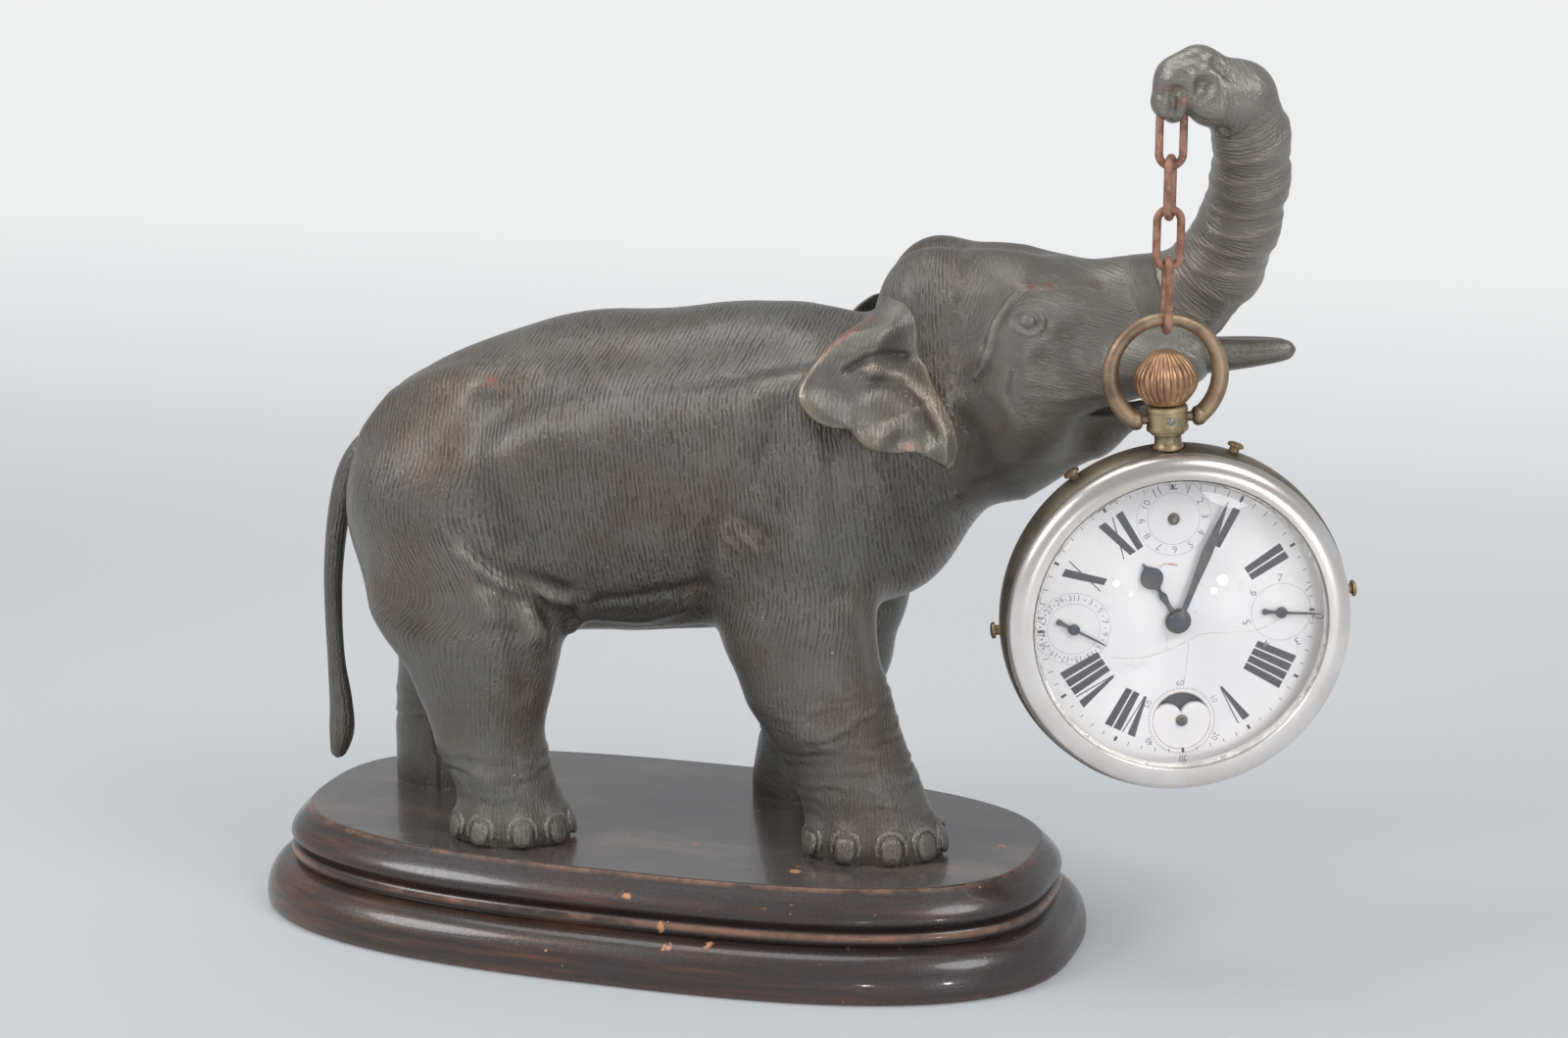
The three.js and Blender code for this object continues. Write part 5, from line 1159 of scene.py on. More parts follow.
def bar_piece(name, points, node, finish, ripple=None, steps=60):
    """A bent bar with rounded ends through points (forwards, left, up, radius)."""
    shape = smooth_path(points, steps)
    radii = shape[:, 3].copy()
    end = radii[-1] * 1.1
    travelled = np.linalg.norm(shape[:, :3] - shape[-1, :3], axis=1)
    radii *= np.sqrt(1 - (1 - np.clip(travelled / end + 0.02, 0, 1)) ** 2)
    rings = round_bar(shape[:, :3], radii, ripple=ripple)
    where, faces = loft(rings)
    where = np.array(where)
    mesh = mesh_of(name, place_elephant(where), faces)
    marks(mesh, where, 10)
    sides = len(rings[0])
    turns = np.tile(np.arange(sides) / sides * strands_around, len(rings))
    along = np.repeat(np.arange(len(rings)) * strand_step, sides)
    set_attribute(mesh, "lines", np.stack([turns, along, 0 * along], 1))
    mesh.materials.append(finish)
    return settle(name, mesh, "stand", node, crease=60)


def hair(t, turn):
    """The tail's tuft: how its radius changes along the tail and round it."""
    tuft = min(max((t - 0.66) / 0.12, 0), 1)
    return 1 + tuft * 0.045 * math.cos(9 * turn + 7 * t)


tusk_bronze = bronze_finish("tusk bronze", 0.08, 1.0, painted_light_share=0.12)
tail_bronze = bronze_finish("tail bronze", 0.16)
bar_piece("near_tusk", near_tusk, "right_tusk", tusk_bronze)
bar_piece("far_tusk", far_tusk, "left_tusk", tusk_bronze)
bar_piece("tail_casting", tail, "tail", tail_bronze, hair, 110)

# Chain: four links of drawn wire, bent round and soldered, rusted to a reddish copper brown.
# The first hangs from the ring cast at the trunk's tip, and the last is the longest.
watch_turn = math.radians(watch_degrees)
wire_radius = 0.8
link_half_width = 2.35
link_turns = [0, 68, 0, 90]
link_middle = Vector(joint_named("link_1_swing")["pos_m"]) * 1000


class Growth(Finish):
    """A Geometry Nodes tree with named inputs, which ends in plain mesh with its finish."""

    def __init__(self, name, inputs):
        super().__init__(name, bpy.data.node_groups.new(name, "GeometryNodeTree"))
        self.sockets = {}
        for label, kind in inputs.items():
            made = self.tree.interface.new_socket(label, in_out="INPUT", socket_type="NodeSocket" + kind)
            self.sockets[label] = made.identifier
        self.tree.interface.new_socket("Mesh", in_out="OUTPUT", socket_type="NodeSocketGeometry")
        self.entry = self.tree.nodes.new("NodeGroupInput")

    def input(self, label):
        return Signal(self, self.entry.outputs[label])

    def end(self, made, finish):
        loose = self.node("GeometryNodeRealizeInstances", inputs={"Geometry": made})
        painted = self.node("GeometryNodeSetMaterial", inputs={"Geometry": loose, "Material": finish})
        leave = self.tree.nodes.new("NodeGroupOutput")
        self.tree.links.new(painted.socket, leave.inputs["Mesh"])

    def grow(self, data, values):
        """The plain mesh that the tree makes of a curve or a mesh with these inputs."""
        holder = linked("holder", data)
        modifier = holder.modifiers.new("grow", "NODES")
        modifier.node_group = self.tree
        for label, value in values.items():
            modifier[self.sockets[label]] = value
        return plain_mesh(holder)


def sweep_tree(name, finish):
    """A node tree that gives a curve a round section and its finish."""
    tree = Growth(name, {"Curve": "Geometry", "Wire Radius": "Float", "Sides": "Int"})
    section = tree.node("GeometryNodeCurvePrimitiveCircle", inputs={
        "Radius": tree.input("Wire Radius"), "Resolution": tree.input("Sides"),
    })
    swell = tree.node("GeometryNodeInputRadius")
    wire = tree.node("GeometryNodeCurveToMesh", inputs={
        "Curve": tree.input("Curve"), "Profile Curve": section, "Scale": swell, "Fill Caps": True,
    })
    tree.end(wire, finish)
    return tree


def swept(name, points, tree, radius, sides=20, cyclic=True, swell=None):
    """The plain mesh that a sweep tree makes of a path in millimetres."""
    curve = bpy.data.curves.new(name, "CURVE")
    curve.dimensions = "3D"
    spline = curve.splines.new("POLY")
    spline.points.add(len(points) - 1)
    for i, p in enumerate(points):
        spline.points[i].co = (*(Vector(p) * millimetre), 1)
        spline.points[i].radius = swell[i] if swell else 1
    spline.use_cyclic_u = cyclic
    mesh = tree.grow(curve, {"Wire Radius": radius * millimetre, "Sides": sides})
    mesh.name = name
    return mesh


rusty = Finish("coppered wire")
rust_here = rusty.place()
rust_grain = rusty.noise(rust_here, 2.2, 4, 0.7)
rust_cloud = rusty.noise(rust_here, 0.5, 3)
rust = rusty.tint(rust_cloud.between(0.35, 0.65), shade(138, 98, 82), shade(176, 134, 114))
rust = rusty.tint(rust_grain.between(0.55, 0.75) * 0.6, rust, shade(112, 86, 76))
rust = rusty.tint((1 - rust_grain.between(0.28, 0.4)) * 0.6, rust, shade(196, 160, 142))
coppered = rusty.close({
    "Base Color": rust, "Metallic": 0.45, "Roughness": 0.42 + 0.3 * rust_grain,
    "Normal": rusty.bump(rust_grain, 0.16),
})
wire_sweep = sweep_tree("wire sweep", coppered)
for number, turn in enumerate(link_turns, 1):
    low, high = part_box(f"chain_link_{number}")
    facing = watch_turn + math.radians(turn)
    across = Vector((math.cos(facing), math.sin(facing), 0))
    half = (high.z - low.z) * 500 - wire_radius
    centre = Vector((link_middle.x, link_middle.y, (high.z + low.z) * 500))
    path = []
    for end in (1, -1):
        for step in range(25):
            bend = math.pi * step / 24
            rise = half - link_half_width + link_half_width * math.sin(bend)
            sideways = end * link_half_width * math.cos(bend)
            path.append(centre + across * sideways + Vector((0, 0, end * rise)))
    link = swept(f"link_{number}", path, wire_sweep, wire_radius, 18)
    settle(f"link_{number}", link, f"link_{number}", f"chain_link_{number}", crease=50)

# Bow: a stout open ring of brass wire, thicker at its ends, on a pin at each side of the
# pendant's collar. It is browned by handling.
watch_place = Matrix.Identity(4)
for column, name in enumerate(("watch_tilt", "crown_turn", "minute_turn")):
    watch_place.col[column][:3] = Vector(joint_named(name)["axis"]).normalized()
watch_place.translation = Vector(joint_named("minute_turn")["pos_m"]) * 1000
bow_radius = 10.9
bow_wire = 1.3
bow_end_turn = 36
case_radius = 35.1
neck_foot = case_radius - 0.3
collar_foot = neck_foot + 3.2
collar_top = collar_foot + 5.3
collar_middle = collar_foot + 2.65


def on_watch(points):
    """Points of the watch, across the dial, up it and out of it, set in their place."""
    return [watch_place @ Vector(p) for p in points]


def brass_finish(name, dark, light, metallic, roughness, grain=0.05, edges=0.5):
    """Worn metal between a dark and a light colour, with fine grain and faint scratches."""
    worn = Finish(name)
    here = worn.place()
    cloud = worn.noise(here, 0.18, 4, 0.6)
    fine = worn.noise(here, 2.4, 3, 0.6)
    scratch = worn.noise(worn.stretch(here, (0.25, 0.25, 5.0)), 1.0, 2, 0.5)
    base = worn.tint(cloud.between(0.32, 0.68), dark, light)
    grime = tuple(a + (b - a) * 0.5 for a, b in zip(dark, (0.02, 0.015, 0.01, 1)))
    base = worn.tint(fine.between(0.58, 0.8) * edges, base, grime)
    return worn.close({
        "Base Color": base, "Metallic": metallic, "Roughness": roughness + 0.18 * cloud + 0.1 * fine,
        "Normal": worn.bump(0.6 * fine + 0.4 * scratch, grain),
    })


bow_brass = brass_finish("bow brass", shade(120, 100, 84), shade(170, 146, 120), 0.8, 0.3)
bow_sweep = sweep_tree("bow sweep", bow_brass)
bow_middle = collar_middle + bow_radius * math.cos(math.radians(bow_end_turn))
bow_path, bow_swell = [], []
for step in range(73):
    turn = math.radians(bow_end_turn + (360 - 2 * bow_end_turn) * step / 72)
    bow_path.append((bow_radius * math.sin(turn), bow_middle - bow_radius * math.cos(turn), 0))
    bow_swell.append(1 + 0.35 * min(1, 0.85 * (1 + math.cos(turn))))
bow_mesh = swept("bow", on_watch(bow_path), bow_sweep, bow_wire, 24, False, bow_swell)


def turned(profile, steps, about=(0, 0, 0), axis="Z"):
    """A turned piece from (radius, height) pairs that start and end on the axis or close."""

    def spot(x, y, height):
        placed = {"Z": (x, y, height), "Y": (y, height, x), "X": (height, x, y)}[axis]
        return tuple(a + b for a, b in zip(placed, about))

    closed = profile[0][0] > 1e-6
    body = profile if closed else profile[1:-1]
    turns = [2 * math.pi * k / steps for k in range(steps)]
    points = [spot(r * math.cos(t), r * math.sin(t), height) for r, height in body for t in turns]
    faces = []
    for i in range(len(body) if closed else len(body) - 1):
        faces += ring_faces(i * steps, (i + 1) % len(body) * steps, steps)
    if not closed:
        for first, height, flip in ((0, profile[0][1], 1), ((len(body) - 1) * steps, profile[-1][1], -1)):
            points.append(spot(0, 0, height))
            for k in range(steps):
                faces.append((len(points) - 1, first + (k + 1) % steps, first + k)[::flip])
    return points, faces


def joined(*parts):
    """Several (points, faces) as one."""
    points, faces = [], []
    for more_points, more_faces in parts:
        faces += [tuple(n + len(points) for n in face) for face in more_faces]
        points += list(more_points)
    return points, faces


def outward(mesh):
    """Turn a closed mesh's faces outwards."""
    made = bmesh.new()
    made.from_mesh(mesh)
    bmesh.ops.recalc_face_normals(made, faces=made.faces)
    made.to_mesh(mesh)
    made.free()


def watch_piece(name, parts, finish, body, *nodes, crease=35, cutters=()):
    """A piece of the watch, given in the dial's own frame, set in its place and drilled."""
    points = on_watch(parts[0])
    mesh = mesh_of(name, points, parts[1])
    outward(mesh)
    if cutters:
        faces = [tuple(face.vertices) for face in mesh.polygons]
        mesh = drilled(name, points, faces, [(*on_watch((a, b)), r) for a, b, r in cutters])
    mesh.materials.clear()
    mesh.materials.append(finish)
    return settle(name, mesh, body, *nodes, crease=crease)


knob = [(0, 5.0), (1.2, 5.0), (1.75, 5.35), (2.0, 6.0), (1.9, 6.9), (1.3, 7.7), (0.5, 8.0), (0, 8.05)]
pin = [(0, 2.6), (0.95, 2.6), (0.95, 5.4), (0, 5.4)]
pins = []
for end in (1, -1):
    for shape in (knob, pin):
        pins.append(turned([(r, end * h) for r, h in shape], 28, (0, collar_middle, 0), "X"))
pin_points, pin_faces = joined(*pins)
pin_mesh = mesh_of("pins", on_watch(pin_points), pin_faces)
outward(pin_mesh)
bow_parts = bmesh.new()
bow_parts.from_mesh(bow_mesh)
bow_parts.from_mesh(pin_mesh)
bow_parts.to_mesh(bow_mesh)
bow_parts.free()
settle("bow_ring", bow_mesh, "bow", "bow", crease=45)

# Pendant: neck and collar turned in brass, screwed into the band, with a small screw on the
# collar's front. The bow's pins turn in its sides.
pendant_brass = brass_finish("pendant brass", shade(132, 114, 90), shade(184, 166, 132), 0.85, 0.28)
pendant_profile = [
    (0, neck_foot - 0.3), (3.15, neck_foot - 0.3), (3.15, neck_foot + 0.1),
    (2.95, neck_foot + 0.35), (2.72, neck_foot + 0.7), (2.66, neck_foot + 1.4),
    (2.66, collar_foot - 0.9), (2.8, collar_foot - 0.62), (3.3, collar_foot - 0.45),
    (3.45, collar_foot - 0.2), (3.45, collar_foot), (3.75, collar_foot + 0.08),
    (4.05, collar_foot + 0.25), (4.15, collar_foot + 0.5), (4.15, collar_foot + 1.0),
    (4.02, collar_foot + 1.12), (4.02, collar_top - 1.25), (4.15, collar_top - 1.12),
    (4.15, collar_top - 0.6), (4.05, collar_top - 0.25), (3.75, collar_top - 0.05),
    (3.4, collar_top), (0, collar_top),
]
stem_bore_radius = 1.4
stem_bore = ((0, neck_foot - 3, 0), (0, collar_top + 2, 0), stem_bore_radius)
pin_bores = [((end * 2.3, collar_middle, 0), (end * 6, collar_middle, 0), 1.25) for end in (1, -1)]
screw_bore = ((0, collar_middle, 2.8), (0, collar_middle, 6), 0.8)
watch_piece("pendant_tube", turned(pendant_profile, 72, axis="Y"), pendant_brass, "watch", "pendant",
            cutters=[stem_bore, *pin_bores, screw_bore])
screw_steel = brass_finish("screw steel", shade(120, 118, 112), shade(158, 156, 150), 0.9, 0.28)
screw_profile = [(0, 3.1), (0.6, 3.1), (0.6, 4.05), (0.75, 4.15), (0.78, 4.3), (0.6, 4.5),
                 (0.3, 4.58), (0, 4.6)]
collar_screw = turned(screw_profile, 24, (0, collar_middle, 0))
watch_piece("collar_screw", collar_screw, screw_steel, "watch", "pendant_screw")

# Crown: an onion form with close rounded flutes, gilt worn to copper, pressed on the steel
# winding stem.
crown_foot = collar_top + 0.3
crown_height = 10.5
crown_radius = 6.4
flutes = 26
flute_depth = 0.34
flute_sides = 8
crown_levels = 40
crown_rings = []
for level in range(crown_levels + 1):
    t = level / crown_levels
    bulge = math.sin(math.pi * (0.16 + 0.77 * t)) ** 0.75
    depth = flute_depth * min(1, max(0, (t - 0.06) / 0.1)) * min(1, max(0, (0.97 - t) / 0.06))
    ring = []
    for k in range(flutes * flute_sides):
        turn = 2 * math.pi * k / (flutes * flute_sides)
        r = crown_radius * bulge - depth * (1 - abs(math.sin(flutes * turn / 2)) ** 0.6)
        ring.append((r * math.sin(turn), crown_foot + crown_height * t, r * math.cos(turn)))
    crown_rings.append(ring)
crown_foot_ring = [(x * 0.86, y, z * 0.86) for x, y, z in crown_rings[0]]
crown_top = crown_foot + crown_height * 1.005
crown_top_ring = [(x * 0.8, crown_top, z * 0.8) for x, y, z in crown_rings[-1]]
crown_gilt = brass_finish("crown gilt", shade(146, 112, 88), shade(204, 164, 128), 0.88, 0.27, 0.04, 0.6)
crown_shape = loft([crown_foot_ring] + crown_rings + [crown_top_ring])
stem_hole = ((0, crown_foot - 2, 0), (0, crown_foot + crown_height * 0.6 + 0.15, 0), 1.25)
watch_piece("crown_onion", crown_shape, crown_gilt, "crown", "crown", cutters=[stem_hole], crease=50)
stem_steel = brass_finish("stem steel", shade(96, 96, 94), shade(132, 132, 128), 0.95, 0.3)
frame["nodes"]["winding_stem"].data.materials.clear()
frame["nodes"]["winding_stem"].data.materials.append(stem_steel)

# Case: a barrel-shaped band with a domed back, gunmetal that has browned, bored for the stem
# and the four pushers.
band_front = 4.0
band_back = -6.0
band_round = 1.2
case_bore = 31.7
band_profile = []
for step in range(25):
    t = step / 24
    fall = band_round * (abs(2 * t - 1) ** 2.6)
    band_profile.append((case_radius - fall, band_back + (band_front - band_back) * t))
band_profile = [(case_bore, band_back), *band_profile, (case_bore, band_front)]
gunmetal = brass_finish("case gunmetal", shade(110, 103, 89), shade(136, 127, 108), 0.85, 0.26, 0.04, 0.35)
pusher_turns = {"date_corrector": 90, "month_corrector": 32, "setting_pin": -22, "day_corrector": -86}
band_middle = (band_front + band_back) / 2
inside, outside = case_bore - 3, case_radius + 3


def spoke(turn, radius):
    """A point of the band's middle plane, turned from 12 o'clock towards 9."""
    return (-radius * math.sin(math.radians(turn)), radius * math.cos(math.radians(turn)), band_middle)


band_cutters = [(spoke(turn, inside), spoke(turn, outside), 1.1) for turn in pusher_turns.values()]
band_cutters.append(((0, inside, 0), (0, outside, 0), stem_bore_radius))
band_cutters.append(((0, neck_foot - 0.6, 0), (0, outside, 0), 3.45))
watch_piece("case_band_ring", turned(band_profile, 192), gunmetal, "watch", "case_band",
            cutters=band_cutters)


def dome(radius, edge, rise, steps, fullness=2.6):
    """A dome's section from its middle to its edge, as (radius, height)."""
    return [(radius * i / steps, edge + rise * (1 - (i / steps) ** fullness)) for i in range(steps + 1)]


back_edge = case_radius - band_round
back_lip = back_edge + 0.12
back_rise = -2.2
outer_back = dome(back_edge, band_back - 1.2, back_rise, 28)
inner_back = dome(case_bore - 1, band_back, back_rise, 20)[::-1]
back_rim = [(back_lip, band_back - 0.9), (back_lip, band_back - 0.3), (back_edge, band_back)]
watch_piece("back_lid", turned(outer_back + back_rim + inner_back, 160), gunmetal, "watch", "back_cover")

# Pushers: round-headed brass pins that correct the calendar and release the hand setting,
# each in its bore through the band.
pusher_brass = brass_finish("pusher brass", shade(116, 98, 74), shade(162, 140, 110), 0.88, 0.28)
pusher_profile = [(0, 31.6), (1.0, 31.6), (1.0, 36.05), (1.45, 36.06), (1.65, 36.16), (1.7, 36.4),
                  (1.55, 36.75), (1.1, 36.95), (0.5, 37.02), (0, 37.02)]
for name, turn in pusher_turns.items():
    points, faces = turned(pusher_profile, 24, axis="Y")
    spin = Matrix.Rotation(math.radians(turn), 4, "Z")
    placed = [spin @ Vector(p) + Vector((0, 0, band_middle)) for p in points]
    watch_piece(name + "_pin", (placed, faces), pusher_brass, name, name)

# Bezel and crystal: a rounded ring of polished nickel silver, painted darker towards the top as
# painted shade, is seated on the band and holds a strongly domed glass.
bezel_radius = case_radius - 0.7
bezel_opening = bezel_radius - 5.0
bezel_front = 7.6
bezel_shoulder = bezel_opening + 1.0
bezel_lip = band_front + 0.35
crystal_seat = band_front + 3.6 * 0.45
bezel_profile = [(bezel_opening - 1, band_front), (bezel_radius - 0.1, band_front)]
for step in range(19):
    turn = math.radians(step * 5)
    bezel_profile.append((bezel_shoulder + (bezel_radius - bezel_shoulder) * math.cos(turn) ** 0.9,
                          bezel_lip + (bezel_front - bezel_lip) * math.sin(turn) ** 0.85))
bezel_profile += [(bezel_opening + 0.25, bezel_front - 0.02), (bezel_opening, bezel_front - 0.25),
                  (bezel_opening, crystal_seat), (bezel_opening - 1, crystal_seat)]
nickel = Finish("bezel silver")
nickel_here = nickel.place()
nickel_cloud = nickel.noise(nickel_here, 0.07, 3, 0.5)
nickel_fine = nickel.noise(nickel_here, 1.4, 3, 0.6)
silver = nickel.tint(nickel_cloud.between(0.3, 0.7), shade(238, 234, 231), shade(222, 215, 210))
silver = nickel.tint(nickel_fine.between(0.6, 0.8) * 0.25, silver, shade(190, 180, 168))
# Painted shade: the ring is painted darker towards its top.
painted_top_shade = nickel.part(nickel_here, "Z").between(86, 110) * 0.55
silver = nickel.tint(painted_top_shade, silver, shade(138, 130, 120))
polished = nickel.close({
    "Base Color": silver, "Metallic": 0.85, "Roughness": 0.22 + 0.1 * nickel_cloud,
    "Normal": nickel.bump(nickel_fine, 0.008),
})
watch_piece("bezel_ring", turned(bezel_profile, 192), polished, "watch", "bezel")

glass_radius = bezel_opening - 0.3
glass_rise = 5.0
glass_wall = 1.1
inner_rise = glass_rise + bezel_front - crystal_seat - glass_wall
outer_glass = dome(glass_radius, bezel_front, glass_rise, 30, 2.3)
inner_glass = dome(glass_radius - glass_wall, crystal_seat, inner_rise, 28, 2.3)[::-1]
glass = Finish("crystal glass")
glass_here = glass.place()
smear = glass.noise(glass_here, 0.09, 4, 0.6)
body_glass = glass.node("ShaderNodeBsdfPrincipled", inputs={
    "Base Color": shade(250, 252, 252), "Roughness": 0.015 + 0.05 * smear.between(0.5, 0.8),
    "Transmission Weight": 1.0, "IOR": 1.5,
    "Normal": glass.bump(glass.noise(glass_here, 0.05, 1), 0.02),
})
shadow = glass.node("ShaderNodeLightPath", output="Is Shadow Ray")
clear = glass.node("ShaderNodeBsdfTransparent")
glass.node_end(glass.node("ShaderNodeMixShader", inputs=(shadow, body_glass, clear)))
watch_piece("crystal_dome", turned(outer_glass + [(glass_radius, crystal_seat)] + inner_glass, 160),
            glass.material, "watch", "crystal", crease=30)

# Dial: white enamel fired on copper, with a hole at each arbor and an aperture for the moon.
# Its numerals, minute track and date figures are fired on in blue-black.
dial_radius = case_bore - 0.8
dial_back = 1.2
dial_front = 2.4
subdial_distance = dial_radius - 10
subdials = {
    "date": (-subdial_distance, 0), "day": (subdial_distance, 0),
    "month": (0, subdial_distance), "seconds": (0, -subdial_distance),
}
enamel = Finish("dial enamel")
enamel_here = enamel.place()
enamel_cloud = enamel.noise(enamel_here, 0.05, 3)
enamel_stain = enamel.noise(enamel_here, 0.16, 4, 0.6)
white = enamel.tint(enamel_cloud.between(0.3, 0.7), shade(228, 223, 224), shade(216, 211, 213))
white = enamel.tint(enamel_stain.between(0.62, 0.8) * 0.4, white, shade(226, 214, 204))
fired = enamel.close({
    "Base Color": white, "Roughness": 0.22 + 0.15 * enamel_stain, "Coat Weight": 0.3, "Coat Roughness": 0.1,
    "Normal": enamel.bump(enamel.noise(enamel_here, 0.4, 2), 0.02),
})


def plate(outlines, low, high, bevel=0.0):
    """A flat plate in millimetres from closed outlines, the outer one first."""
    curve = bpy.data.curves.new("plate", "CURVE")
    curve.dimensions = "2D"
    curve.fill_mode = "BOTH"
    curve.extrude = (high - low) / 2 - bevel
    curve.bevel_depth = bevel
    curve.bevel_resolution = 0
    curve.offset = -bevel
    for outline in outlines:
        spline = curve.splines.new("POLY")
        spline.points.add(len(outline) - 1)
        for spot, (x, y) in zip(spline.points, outline):
            spot.co = (x, y, 0, 1)
        spline.use_cyclic_u = True
    return solid_of(curve, (low + high) / 2)


def solid_of(curve, height):
    """Points and faces of a flat curve's solid, its seams welded."""
    mesh = plain_mesh(linked("flat", curve))
    made = bmesh.new()
    made.from_mesh(mesh)
    bmesh.ops.remove_doubles(made, verts=made.verts, dist=0.002)
    made.verts.index_update()
    points = [(v.co.x, v.co.y, v.co.z + height) for v in made.verts]
    faces = [tuple(v.index for v in face.verts) for face in made.faces]
    made.free()
    bpy.data.meshes.remove(mesh)
    return points, faces


def arc(about, radius, start, end, steps):
    """Points from a start angle up to, but without, an end angle."""
    turns = [start + (end - start) * k / steps for k in range(steps)]
    return [(about[0] + radius * math.cos(t), about[1] + radius * math.sin(t)) for t in turns]


def circle(radius, about=(0, 0), steps=96):
    return arc(about, radius, 0, 2 * math.pi, steps)


def window_outline():
    """The moon's window: an arc over the seconds arbor, and two humps below it."""
    across, rise = 2.9, 0.3
    window, hump = 5.7, 3.1
    middle = -subdial_distance
    away = math.hypot(across, rise)
    meeting = math.acos((window ** 2 + away ** 2 - hump ** 2) / (2 * window * away))
    corner = math.atan2(rise, across) + meeting
    outer = math.atan2(window * math.sin(corner) - rise, window * math.cos(corner) - across)
    notch = math.acos(across / hump)
    outline = arc((0, middle), window, corner, math.pi - corner, 40)
    outline += arc((-across, middle + rise), hump, math.pi - outer, notch, 24)
    outline += arc((across, middle + rise), hump, math.pi - notch, outer, 24)
    return outline


centre_hole, arbor_hole = 2.0, 0.85
dial_outlines = [circle(dial_radius, steps=180), circle(centre_hole, steps=48), window_outline()]
dial_outlines += [circle(arbor_hole, spot, 32) for spot in subdials.values()]
dial_shape = plate(dial_outlines, dial_back, dial_front, 0.06)
watch_piece("enamel_dial", dial_shape, fired, "watch", "dial", crease=30)

# Printing on the dial: Roman numerals in thick and hair strokes, a minute track, and plain
# figures round the four small dials. Fine brown cracks run across the enamel.
numeral_foot = 16.8
numeral_height = 8.4
numeral_gap = 0.32
numeral_spread = 0.16
numeral_shapes = {
    "I": (1.5, [[(0, 0), (1.5, 0), (1.5, 1), (0, 1)]]),
    "V": (2.7, [[(1.25, 0), (1.75, 0), (1.55, 1), (0, 1)], [(1.6, 0), (1.8, 0), (2.7, 1), (2.45, 1)]]),
    "X": (3.5, [[(1.9, 0), (3.45, 0), (1.6, 1), (0.05, 1)], [(0.2, 0), (0.45, 0), (3.3, 1), (3.05, 1)]]),
}
numerals = {1: "I", 2: "II", 4: "IIII", 5: "V", 7: "VII", 8: "VIII", 10: "X", 11: "XI"}
print_low = dial_front - 0.01
print_high = dial_front + 0.02


def round_about(points, turn, radius, about=(0, 0)):
    """Points (across, outwards) at a radius and a clock angle round a centre."""
    sine, cosine = math.sin(turn), math.cos(turn)
    placed = []
    for x, y, *z in points:
        out = radius + y
        placed.append((about[0] + out * sine + x * cosine, about[1] + out * cosine - x * sine, *z))
    return placed


def numeral(hour, text):
    """The strokes of an hour's numeral, a little wider at the rim of the dial."""
    width = sum(numeral_shapes[letter][0] for letter in text) + numeral_gap * (len(text) - 1)
    middle_radius = numeral_foot + numeral_height / 2
    left = -width / 2
    strokes = []
    for letter in text:
        letter_width, shapes = numeral_shapes[letter]
        for shape in shapes:
            outline = []
            for x, y in shape:
                spread = 1 + numeral_spread * (y - 0.5)
                outline.append(((left + x) * spread, (y - 0.5) * numeral_height))
            placed = round_about(outline, math.radians(30 * hour), middle_radius)
            strokes.append(plate([placed], print_low, print_high))
        left += letter_width + numeral_gap
    return strokes


def figure(text, size):
    """A plain number as a thin solid about its own middle."""
    curve = bpy.data.curves.new("figure", "FONT")
    curve.body = text
    curve.size = size
    curve.resolution_u = 2
    curve.align_x = "CENTER"
    curve.align_y = "CENTER"
    curve.extrude = (print_high - print_low) / 2
    return solid_of(curve, (print_high + print_low) / 2)


def figure_ring(labels, about, radius, size):
    """Figures round a small dial, clockwise to the top, with a dot for an empty label."""
    half_dot = 0.13
    dot = [(-half_dot, -half_dot), (half_dot, -half_dot), (half_dot, half_dot), (-half_dot, half_dot)]
    ring = []
    for place, label in enumerate(labels):
        turn = 2 * math.pi * (place + 1) / len(labels)
        if label:
            points, faces = figure(label, size)
            ring.append((round_about(points, turn, radius, about), faces))
        else:
            ring.append(plate([round_about(dot, turn, radius, about)], print_low, print_high))
    return ring


def ring_line(about, radius, width):
    outlines = [circle(radius + width / 2, about), circle(radius - width / 2, about)]
    return plate(outlines, print_low, print_high)


def ribbon(points, width):
    """A thin line of a width along points."""
    path = smooth_path([(x, y, 0) for x, y in points], 8 * len(points))[:, :2]
    along = np.gradient(path, axis=0)
    along /= np.linalg.norm(along, axis=1)[:, None]
    side = np.stack([-along[:, 1], along[:, 0]], 1) * width / 2
    outline = [tuple(p) for p in path + side] + [tuple(p) for p in (path - side)[::-1]]
    return plate([outline], print_low, print_high)


ink = Finish("fired ink")
ink_place = ink.place()
ink_worn = ink.noise(ink_place, 1.2, 4, 0.65)
ink_cloud = ink.noise(ink_place, 0.2, 2)
ink_colour = ink.tint(ink_worn.between(0.55, 0.75) * 0.6, shade(58, 58, 66), shade(96, 95, 102))
ink_colour = ink.tint(ink_cloud.between(0.5, 0.75) * 0.3, ink_colour, shade(92, 80, 76))
numeral_ink = ink.close({"Base Color": ink_colour, "Roughness": 0.3 + 0.2 * ink_worn})


def faded_finish(name, scale, detail, faded, first, second, roughness, metallic=0.0):
    """A fired or painted colour that fades to a second one in fine patches."""
    thin = Finish(name)
    worn = thin.noise(thin.place(), scale, detail, 0.6)
    return thin.close({
        "Base Color": thin.tint(worn.between(*faded), first, second),
        "Roughness": roughness + 0.2 * worn, "Metallic": metallic,
    })


pale_ink = faded_finish("pale ink", 0.9, 3, (0.4, 0.65), shade(92, 92, 102), shade(142, 141, 148), 0.35)
crack_brown = faded_finish("dial cracks", 0.8, 3, (0.35, 0.7), shade(160, 124, 100),
                           shade(212, 200, 192), 0.4)

bold_print = []
for hour, text in numerals.items():
    bold_print += numeral(hour, text)
watch_piece("roman_numerals", joined(*bold_print), numeral_ink, "watch", crease=30)

